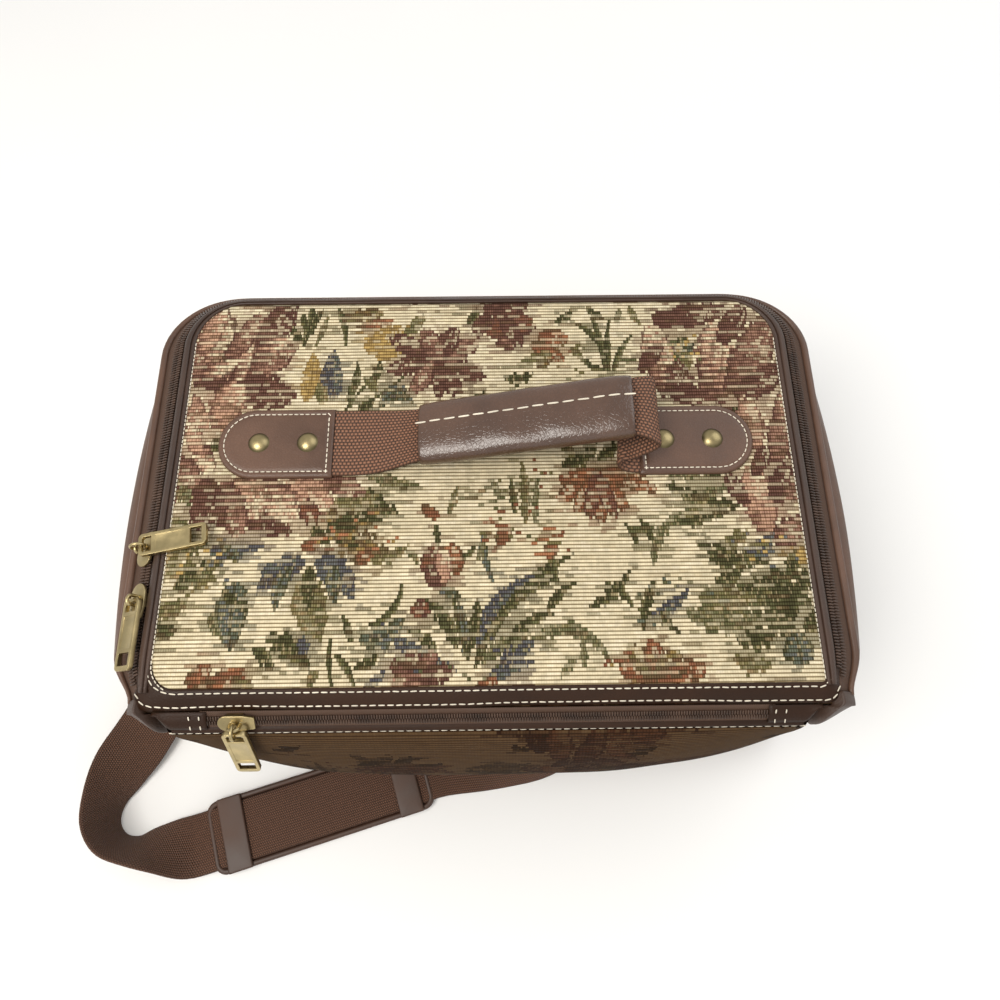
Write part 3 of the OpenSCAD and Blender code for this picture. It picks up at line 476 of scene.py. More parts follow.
def materials():
    """All materials of the case, made once."""
    look = bpy.context.scene.case_look
    if not MADE:
        vinyl, web = tuple(look.vinyl), tuple(look.webbing)
        MADE.update(
            tapestry=tapestry_material("tapestry"),
            # The pocket's tapestry, also used on the front wall, carries painted shade: muted towards the tan
            # of the cloth in shade and darkened.
            pocket=tapestry_material("pocket_tapestry", linear(136, 106, 70)),
            vinyl=vinyl_material("vinyl", shades(vinyl, 0.86)[0]),
            # The vinyl at under half its colour: painted shade for the lid's slope, its cording and the zip's
            # end caps.
            dark_vinyl=vinyl_material("dark_vinyl", shades(vinyl, 0.42)[0], 0.5),
            # The trim vinyl is the vinyl darkened to about a fifth: painted shade for the hinge trim, the
            # pocket's binding and its end tabs.
            trim=vinyl_material(
                "painted_shade_trim_vinyl", (vinyl[0] * 0.24, vinyl[1] * 0.19, vinyl[2] * 0.13), 0.5, shine=0.22
            ),
            grip=vinyl_material("grip_vinyl", shades(vinyl, 0.7)[0], 0.22, 1000.0, 0.0004, 0.5),
            webbing=webbing_material("webbing", web),
            strap=webbing_material("strap_webbing", shades(web, 0.84)[0], 1.5, 1.3, 0.36, 1.5),
            tape=tape_material("zip_tape", tuple(look.tape)),
            # The lid's zip tape: the same tape at about half its colour, painted shade.
            dark_tape=tape_material("painted_shade_zip_tape", shades(tuple(look.tape), 0.55)[0]),
            coil=coil_material("zip_coil", shades(tuple(look.tape), 0.9)[0]),
            brass=brass_material("brass", tuple(look.brass)),
            rivet=brass_material("rivet_brass", shades(tuple(look.brass), 0.78)[0], (CASE_H + 2.8) * MM),
            thread=thread_material("sewing_thread", tuple(look.thread)),
            pad=pad_material("pad_rubber", shades(web, 0.48)[0]),
            lining=plain_cloth_material("lining", linear(92, 78, 64)),
            board=board_material("board", linear(168, 142, 108)),
        )
    return MADE


MADE = {}

# Meshes


def grid_faces(rows, cols, start=0, wrap=False, flip=False):
    j, i = np.meshgrid(np.arange(rows - 1), np.arange(cols if wrap else cols - 1), indexing="ij")
    k = (i + 1) % cols
    quads = np.stack(
        [
            start + j * cols + i, start + j * cols + k, start + (j + 1) * cols + k,
            start + (j + 1) * cols + i
        ],
        -1
    )
    quads = quads.reshape(-1, 4)
    return quads[:, ::-1] if flip else quads


def new_piece(name, points, faces, material, uv=None, colours=None, outward=False):
    """A smooth mesh object at the origin from points in millimetres."""
    mesh = bpy.data.meshes.new(name)
    points = np.asarray(points, float).reshape(-1, 3) * MM
    mesh.from_pydata(
        points.tolist(), [], np.asarray(faces).tolist() if isinstance(faces, np.ndarray) else faces
    )
    if outward:
        bm = bmesh.new()
        bm.from_mesh(mesh)
        bmesh.ops.recalc_face_normals(bm, faces=bm.faces)
        bm.to_mesh(mesh)
        bm.free()
    mesh.polygons.foreach_set("use_smooth", np.ones(len(mesh.polygons), bool))
    loops = np.zeros(len(mesh.loops), np.int32)
    mesh.loops.foreach_get("vertex_index", loops)
    if uv is not None:
        layer = mesh.uv_layers.new(name="Threads")
        layer.data.foreach_set("uv", np.asarray(uv, np.float32).reshape(-1, 2)[loops].ravel())
    if colours is not None:
        layer = mesh.color_attributes.new("weave", "FLOAT_COLOR", "CORNER")
        rgba = np.concatenate([colours, np.ones((len(colours), 1))], 1)
        layer.data.foreach_set("color", np.repeat(rgba, 4, axis=0).astype(np.float32).ravel())
    mesh.materials.append(material)
    obj = bpy.data.objects.new(name, mesh)
    bpy.context.scene.collection.objects.link(obj)
    return obj


def settle(obj, body, slot, *nodes):
    """Puts a finished piece on its body and in place of its frame nodes; the slot is not used."""
    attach(obj, body)
    if nodes:
        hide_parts(*nodes)
    return obj


class Shell:
    """Several grids of points gathered into one mesh."""

    def __init__(self):
        self.points, self.faces, self.uv, self.count = [], [], [], 0

    def grid(self, grid, wrap=False, flip=False, uv=None, caps=False):
        rows, cols = grid.shape[:2]
        self.faces += grid_faces(rows, cols, self.count, wrap, flip).tolist()
        if caps:
            first = [self.count + i for i in range(cols)]
            last = [self.count + (rows - 1) * cols + i for i in range(cols)]
            self.faces += [first if flip else first[::-1], last[::-1] if flip else last]
        self.points.append(grid.reshape(-1, 3))
        self.uv.append(np.zeros((rows * cols, 2)) if uv is None else uv.reshape(-1, 2))
        self.count += rows * cols
        return self

    def piece(self, name, material):
        return new_piece(
            name, np.concatenate(self.points), self.faces, material, np.concatenate(self.uv), outward=True
        )


def tube(name, rings, material, uv=None):
    """A piece swept through rings of points, closed at both ends."""
    return Shell().grid(rings, wrap=True, caps=True, uv=uv).piece(name, material)


def slope_at(s, h):
    """Outward distance and height of a point on the main zip's slope."""
    c, d = math.cos(SLOPE), math.sin(SLOPE)
    return ZIP_RUN + s * c + h * d, ZIP_Z - s * d + h * c


def shelf_at(s, h):
    """Place along y and height of a point on the pocket zip's slope."""
    reach = SHELF_L / 2 + s
    c, d = math.cos(SHELF), math.sin(SHELF)
    return HINGE_Y - reach * c - h * d, HINGE_Z - reach * d + h * c


def smooth(t):
    c = np.clip(t, 0, 1)
    return c * c * (3 - 2 * c)


def u_path(step, front=STRIP_FRONT, reach=WALL_G):
    """Stations round the three sides: place, outward direction, bow, run and share of the reach."""
    side_y = np.linspace(front, LID_BACK - BACK_R, max(8, round((LID_BACK - BACK_R - front) / step)) + 1)
    mid, half = (side_y[0] + side_y[-1]) / 2, (side_y[-1] - side_y[0]) / 2
    side_bow = SIDE_BOW * (1 - ((side_y - mid) / half) ** 2)
    turn = np.linspace(0, math.pi / 2, max(8, round((BACK_R + reach) * math.pi / 2 / step)) + 1)[1:]
    back_half = LID_W / 2 - BACK_R
    back_x = np.linspace(back_half, -back_half, max(8, round(2 * back_half / step)) + 1)[1:]
    zero, one = np.zeros_like, np.ones_like
    place = np.concatenate([
        np.stack([LID_W / 2 * one(side_y), side_y], 1),
        np.stack([back_half + BACK_R * np.cos(turn), LID_BACK - BACK_R + BACK_R * np.sin(turn)], 1),
        np.stack([back_x, LID_BACK * one(back_x)], 1),
        np.stack([-back_half - BACK_R * np.sin(turn), LID_BACK - BACK_R + BACK_R * np.cos(turn)], 1),
        np.stack([-LID_W / 2 * one(side_y[1:]), side_y[-2::-1]], 1),
    ])
    out = np.concatenate([
        np.stack([one(side_y), zero(side_y)], 1), np.stack([np.cos(turn), np.sin(turn)], 1),
        np.stack([zero(back_x), one(back_x)], 1), np.stack([-np.sin(turn), np.cos(turn)], 1),
        np.stack([-one(side_y[1:]), zero(side_y[1:])], 1),
    ])
    bow = np.concatenate(
        [side_bow, zero(turn), BACK_BOW * (1 - (back_x / back_half) ** 2), zero(turn), side_bow[-2::-1]]
    )
    narrow = (1 - BACK_SHARE) * smooth(turn * 2 / math.pi)
    drawn = smooth((STRIP_FRONT + CORNER_RUN - side_y) / CORNER_RUN) ** 1.5
    share = np.concatenate(
        [
            1 - RIGHT_IN * drawn, 1 - narrow, BACK_SHARE * one(back_x), BACK_SHARE + narrow,
            1 - LEFT_IN * drawn[-2::-1]
        ]
    )
    line = place + out * (reach * share)[:, None]
    run = np.concatenate([[0], np.cumsum(np.linalg.norm(np.diff(line, axis=0), axis=1))])
    return place, out, bow, run, share


def u_sheet(path, rows):
    """A sheet along the path, one row for each outward distance, height, share of the bow and inset."""
    place, out, bow, _, share = path
    made = []
    for g, z, bent, inset in rows:
        made.append(
            np.concatenate(
                [place + out * (g * share + bow * bent - inset)[:, None], np.full((len(place), 1), z)], 1
            )
        )
    return np.stack(made)


def u_strip(path, profile, wobble=None):
    """A closed profile of outward distances and heights, swept along the path."""
    place, out, _, run, share = path
    rings = []
    for k, (g, z) in enumerate(profile):
        lift = wobble(run, k) if wobble else 0 * run
        reach = (g + lift * math.sin(SLOPE)) * share
        rings.append(np.concatenate([place + out * reach[:, None], (z + lift * math.cos(SLOPE))[:, None]], 1))
    return np.stack(rings, 1)


def strip_uv(path, across):
    run = path[3]
    return np.stack(np.broadcast_arrays(np.asarray(across)[None, :], run[:, None]), -1)


def ring_profile(centre, r, n=12):
    a = np.arange(n) * 2 * math.pi / n
    return [(centre[0] + r * math.cos(t), centre[1] + r * math.sin(t)) for t in a]


def ripple(points, scale, seed=0):
    """A smooth irregular value from -1 to 1 at each point, from a few crossed waves."""
    rng = np.random.default_rng(seed)
    points = np.asarray(points, float)
    total = np.zeros(points.shape[:-1])
    for k in range(7):
        d = rng.normal(size=points.shape[-1])
        d /= np.linalg.norm(d)
        total += np.sin(
            points @ d * (2 * math.pi / scale) * (0.6 + 0.25 * k) + rng.uniform(0, 6.28)
        ) / (1 + 0.5 * k)
    return total / 3.2


def curve_through(points, step):
    """Points at an even step on a smooth curve through the given points, any number of columns."""
    p = np.asarray(points, float)
    p = np.concatenate([[2 * p[0] - p[1]], p, [2 * p[-1] - p[-2]]])
    made = []
    for i in range(1, len(p) - 2):
        t = np.linspace(0, 1, 40, endpoint=False)[:, None]
        a, b, c, d = p[i - 1], p[i], p[i + 1], p[i + 2]
        made.append(
            0.5
            * (2 * b + (c - a) * t + (2 * a - 5 * b + 4 * c - d) * t**2 + (3 * b - a - 3 * c + d) * t**3)
        )
    dense = np.concatenate(made + [p[-2:-1]])
    run = np.concatenate([[0], np.cumsum(np.linalg.norm(np.diff(dense[:, :3], axis=0), axis=1))])
    at = np.linspace(0, run[-1], max(2, round(run[-1] / step)) + 1)
    return np.stack([np.interp(at, run, dense[:, k]) for k in range(dense.shape[1])], 1), at


def normalised(v):
    return v / np.linalg.norm(v, axis=-1, keepdims=True)


def ribbon(points, side, width, thick, run):
    """A flat band with rounded edges along the points: its grid of rings and its map."""
    heading = normalised(np.gradient(points, axis=0))
    side = normalised(side - heading * np.sum(side * heading, 1, keepdims=True))
    up = np.cross(heading, side)
    half = np.broadcast_to(np.asarray(width, float) / 2, len(points))[:, None]
    across = np.array([-1, -0.985, -0.9, -0.6, -0.3, 0, 0.3, 0.6, 0.9, 0.985, 1])
    lift = np.array([0, 0.75, 1, 1, 1, 1, 1, 1, 1, 0.75, 0]) * thick / 2
    ring = [*zip(across, lift), *zip(across[-2:0:-1], -lift[-2:0:-1])]
    grid = np.stack([points + side * half * a + up * l for a, l in ring], 1)
    uv = np.stack(
        np.broadcast_arrays(np.array([(a + 1) / 2 * WEB_W for a, _ in ring])[None, :], run[:, None]), -1
    )
    return grid, uv


# Rows of stitches and teeth


def row_group():
    """A node group that sets copies of an item along lines at an even pitch."""
    name = "Pieces along a line"
    if name in bpy.data.node_groups:
        return bpy.data.node_groups[name]
    group = bpy.data.node_groups.new(name, "GeometryNodeTree")
    for label, kind in (
        ("Line", "Geometry"), ("Item", "Object"), ("Pitch", "Float"), ("Size", "Vector"),
        ("Wobble", "Float"), ("Finish", "Material")
    ):
        group.interface.new_socket(label, in_out="INPUT", socket_type="NodeSocket" + kind)
    group.interface.new_socket("Geometry", in_out="OUTPUT", socket_type="NodeSocketGeometry")

    def node(kind, inputs=None, **settings):
        made = group.nodes.new(kind)
        for key, value in settings.items():
            setattr(made, key, value)
        for key, value in (inputs or {}).items():
            if isinstance(value, bpy.types.NodeSocket):
                group.links.new(value, made.inputs[key])
            else:
                made.inputs[key].default_value = value
        return made.outputs

    given = node("NodeGroupInput")
    line = node("GeometryNodeMeshToCurve", {"Mesh": given["Line"]})[0]
    line = node("GeometryNodeResampleCurve", {"Curve": line, "Length": given["Pitch"]}, mode="LENGTH")[0]
    up = node("GeometryNodeInputNamedAttribute", {"Name": "up"}, data_type="FLOAT_VECTOR")[0]
    along = node("GeometryNodeInputTangent")[0]
    turn = node(
        "FunctionNodeAxesToRotation", {"Primary Axis": along, "Secondary Axis": up}, primary_axis="X",
        secondary_axis="Z"
    )[0]
    chance = node("FunctionNodeRandomValue", {0: (-1, -1, -1), 1: (1, 1, 1)}, data_type="FLOAT_VECTOR")[0]
    tilt = node("ShaderNodeVectorMath", {0: chance, "Scale": given["Wobble"]}, operation="SCALE")[0]
    tilt = node("FunctionNodeEulerToRotation", {0: tilt})[0]
    turn = node("FunctionNodeRotateRotation", {0: turn, 1: tilt}, rotation_space="LOCAL")[0]
    item = node("GeometryNodeObjectInfo", {"Object": given["Item"]})["Geometry"]
    copies = node(
        "GeometryNodeInstanceOnPoints",
        {"Points": line, "Instance": item, "Rotation": turn, "Scale": given["Size"]}
    )[0]
    copies = node("GeometryNodeRealizeInstances", {0: copies})[0]
    copies = node("GeometryNodeSetMaterial", {"Geometry": copies, "Material": given["Finish"]})[0]
    node("NodeGroupOutput", {0: copies})
    return group


def capsule(name, axis):
    """A unit grain with round ends, long along x or along y."""
    rings, around = [
        (-0.5, 0.0), (-0.47, 0.28), (-0.38, 0.44), (-0.15, 0.5), (0.15, 0.5), (0.38, 0.44), (0.47, 0.28),
        (0.5, 0.0)
    ], 8
    points, faces = [(-0.5, 0, 0)], []
    for x, r in rings[1:-1]:
        points += [
            (x, r * math.cos(2 * math.pi * k / around), r * math.sin(2 * math.pi * k / around))
            for k in range(around)
        ]
    points.append((0.5, 0, 0))
    n, last = around, len(points) - 1
    faces += [(0, 1 + (k + 1) % n, 1 + k) for k in range(n)]
    for j in range(len(rings) - 3):
        faces += [
            (1 + j * n + k, 1 + j * n + (k + 1) % n, 1 + (j + 1) * n + (k + 1) % n, 1 + (j + 1) * n + k)
            for k in range(n)
        ]
    faces += [(last, last - n + k, last - n + (k + 1) % n) for k in range(n)]
    if axis == "y":
        points = [(-y, x, z) for x, y, z in points]
    mesh = bpy.data.meshes.new(name)
    mesh.from_pydata(points, [], faces)
    mesh.polygons.foreach_set("use_smooth", np.ones(len(mesh.polygons), bool))
    return bpy.data.objects.new(name, mesh)


def row_of(name, lines, axis, pitch, size, wobble, finish):
    """One plain mesh of small pieces set along lines of points and upward directions, in millimetres."""
    points, ups, edges, count = [], [], [], 0
    for line, up in lines:
        line = np.asarray(line, float)
        points.append(line)
        ups.append(np.broadcast_to(np.asarray(up, float), line.shape))
        edges += [(count + i, count + i + 1) for i in range(len(line) - 1)]
        count += len(line)
    mesh = bpy.data.meshes.new(name + "_line")
    mesh.from_pydata((np.concatenate(points) * MM).tolist(), edges, [])
    attribute = mesh.attributes.new("up", "FLOAT_VECTOR", "POINT")
    attribute.data.foreach_set("vector", np.concatenate(ups).astype(np.float32).ravel())
    obj = bpy.data.objects.new(name + "_line", mesh)
    bpy.context.scene.collection.objects.link(obj)
    item = capsule(name + "_item", axis)
    group = row_group()
    modifier = obj.modifiers.new("Row", "NODES")
    modifier.node_group = group
    ids = {
        s.name: s.identifier for s in group.interface.items_tree
        if s.item_type == "SOCKET" and s.in_out == "INPUT"
    }
    for label, value in (
        ("Item", item), ("Pitch", pitch), ("Size", [c * MM for c in size]), ("Wobble", wobble),
        ("Finish", finish)
    ):
        modifier[ids[label]] = value
    bpy.context.view_layer.update()
    made = bpy.data.meshes.new_from_object(obj.evaluated_get(bpy.context.evaluated_depsgraph_get()))
    for old in (obj, item):
        bpy.data.objects.remove(old)
    made.name = name
    piece = bpy.data.objects.new(name, made)
    bpy.context.scene.collection.objects.link(piece)
    return piece


def stitches(name, lines, length=None, width=None, pitch=None, wobble=0.05):
    sewing = bpy.context.scene.case_sewing
    length = length or sewing.stitch_length / MM
    width = width or sewing.stitch_width / MM
    return row_of(
        name, lines, "x", (pitch or sewing.stitch_pitch / MM) * MM, (length, width, width * 0.8), wobble,
        materials()["thread"]
    )


# Tapestry

INK = {
    "cream": linear(219, 206, 174), "pale": linear(230, 218, 190), "sand": linear(192, 174, 136),
    "tan": linear(162, 140, 104), "mauve": linear(98, 68, 58), "plum": linear(124, 90, 76),
    "pink": linear(168, 130, 110), "salmon": linear(196, 156, 130), "rust": linear(136, 90, 66),
    "orange": linear(174, 120, 86), "gold": linear(188, 158, 98), "ochre": linear(156, 130, 80),
    "forest": linear(74, 72, 46), "green": linear(98, 98, 66), "olive": linear(120, 112, 74),
    "sage": linear(142, 136, 106), "teal": linear(102, 108, 92), "blue": linear(108, 110, 108),
    "navy": linear(84, 82, 86), "brown": linear(104, 84, 60),
}
ROSE = ("mauve", "plum", "pink", "salmon", "cream", "cream", "pink")
BLUSH = ("plum", "salmon", "salmon", "pink", "salmon", "cream")
CREAMY = ("plum", "pink", "cream", "salmon", "cream", "pink")
WINE = ("mauve", "mauve", "plum", "mauve", "plum", "mauve")
DUSK = ("mauve", "plum", "pink", "plum", "pink", "plum")
PLUMRUST = ("mauve", "rust", "plum", "rust", "plum", "brown")
FLAME = ("brown", "rust", "rust", "orange", "rust", "rust")
SUN = ("ochre", "gold", "gold", "ochre", "gold", "ochre")
LEAF = ("forest", "forest", "green", "green", "olive", "sage")
DARK = ("forest", "forest", "green", "forest", "green", "olive")
MOSS = ("olive", "green", "olive", "sage", "olive", "tan")
POND = ("forest", "teal", "teal", "blue", "teal", "sage")
DEEP = ("navy", "navy", "blue", "navy", "teal", "blue")
FERN = ("green", "sage", "sage", "olive", "sage", "green")
BARK = ("brown", "olive", "brown", "ochre", "olive", "tan")

# Petals: root and tip from the back left corner, width, inks
PETALS = [
    (15, 54, 12, 4, 26, ROSE), (28, 52, 53, 1, 24, WINE), (28, 54, 58, 28, 16, DUSK),
    (26, 52, 59, 63, 20, WINE), (19, 54, -3, 39, 16, WINE), (19, 79, 28, 52, 20, BLUSH),
    (0, 60, 13, 81, 13, BLUSH), (5, 52, 2, 24, 10, DUSK), (28, 50, 32, 10, 10, CREAMY),
    (38, 56, 48, 69, 8, WINE), (98, 31, 118, 18, 13, SUN), (105, 37, 125, 25, 11, SUN),
    (84, 12, 107, 7, 10, BARK), (92, 17, 112, 13, 6, FLAME), (120, 22, 130, 10, 8, MOSS),
    (139, 39, 112, 24, 14, WINE), (139, 39, 110, 45, 11, WINE), (139, 39, 124, 59, 12, DUSK),
    (139, 39, 150, 62, 12, WINE), (139, 39, 164, 51, 12, WINE), (139, 39, 160, 27, 14, DUSK),
    (139, 39, 148, 17, 12, WINE), (139, 39, 130, 18, 12, DUSK), (139, 39, 139, 63, 8, WINE),
    (165, 6, 190, 2, 12, WINE), (166, 19, 194, 15, 18, PLUMRUST), (172, 29, 187, 26, 9, DUSK),
    (166, 10, 159, 24, 10, WINE), (175, 10, 185, 31, 10, WINE), (196, 24, 212, 26, 11, FLAME),
    (192, 29, 209, 40, 10, FLAME), (196, 44, 200, 33, 9, BARK), (186, 40, 202, 37, 6, MOSS),
    (266, 62, 260, 16, 20, ROSE), (276, 67, 270, 41, 16, WINE), (292, 62, 301, 13, 28, ROSE),
    (262, 14, 304, 7, 16, WINE), (299, 29, 314, 4, 13, WINE), (302, 62, 329, 13, 25, DUSK),
    (304, 64, 330, 46, 16, WINE), (265, 59, 297, 69, 12, WINE), (252, 47, 265, 29, 10, WINE),
    (310, 94, 308, 64, 15, BLUSH), (320, 102, 329, 72, 14, DUSK), (300, 86, 295, 69, 10, WINE),
    (324, 79, 332, 58, 9, ROSE), (310, 141, 306, 105, 18, BLUSH), (317, 125, 330, 103, 16, WINE),
    (314, 148, 332, 135, 14, DUSK), (301, 126, 293, 110, 10, WINE), (322, 123, 332, 118, 11, DUSK),
    (308, 110, 316, 94, 9, WINE), (224, 108, 202, 124, 10, FLAME), (224, 108, 212, 130, 10, FLAME),
    (224, 108, 225, 136, 10, FLAME), (224, 108, 239, 130, 10, FLAME), (224, 108, 254, 118, 10, FLAME),
    (224, 108, 252, 108, 8, FLAME), (224, 108, 203, 112, 8, FLAME), (224, 108, 218, 134, 8, PLUMRUST),
    (224, 108, 232, 134, 8, PLUMRUST), (37, 130, 64, 140, 11, WINE), (80, 110, 101, 119, 12, DUSK),
    (62, 110, 83, 127, 18, BLUSH), (47, 111, 65, 134, 19, ROSE), (70, 123, 76, 136, 10, PLUMRUST),
    (32, 110, 50, 124, 15, BLUSH), (50, 117, 42, 133, 10, CREAMY), (27, 112, 37, 141, 16, DUSK),
    (15, 110, 25, 137, 18, WINE), (17, 115, 14, 138, 10, WINE), (10, 89, 18, 106, 13, ROSE),
    (0, 97, 12, 114, 13, DUSK), (20, 39, 37, 8, 13, DUSK), (37, 32, 55, 24, 11, ROSE),
    (5, 32, 15, 5, 13, BLUSH), (7, 47, 26, 39, 11, ROSE), (71, 148, 80, 144, 8, FLAME),
    (98, 156, 106, 150, 8, FLAME), (132, 126, 140, 133, 7, FLAME), (196, 154, 200, 147, 8, FLAME),
    (135, 162, 140, 147, 13, PLUMRUST), (150, 162, 145, 147, 12, FLAME), (142, 168, 143, 149, 10, BLUSH),
    (140, 170, 135, 157, 8, WINE), (132, 215, 118, 206, 11, WINE), (132, 215, 127, 201, 10, WINE),
    (132, 215, 139, 202, 10, DUSK), (132, 215, 149, 210, 10, WINE), (132, 215, 118, 218, 10, DUSK),
    (248, 215, 229, 210, 12, FLAME), (248, 215, 234, 200, 11, BARK), (248, 215, 246, 197, 11, FLAME),
    (248, 215, 259, 203, 11, BARK), (248, 215, 272, 211, 12, FLAME), (30, 217, 48, 211, 12, FLAME),
    (20, 216, 30, 207, 9, FLAME), (42, 215, 52, 219, 8, BARK), (160, 219, 170, 216, 6, FLAME),
    (172, 147, 176, 136, 8, FLAME), (324, 157, 332, 151, 8, SUN), (135, 183, 128, 178, 10, PLUMRUST),
    (10, 94, 5, 79, 10, BLUSH),
]
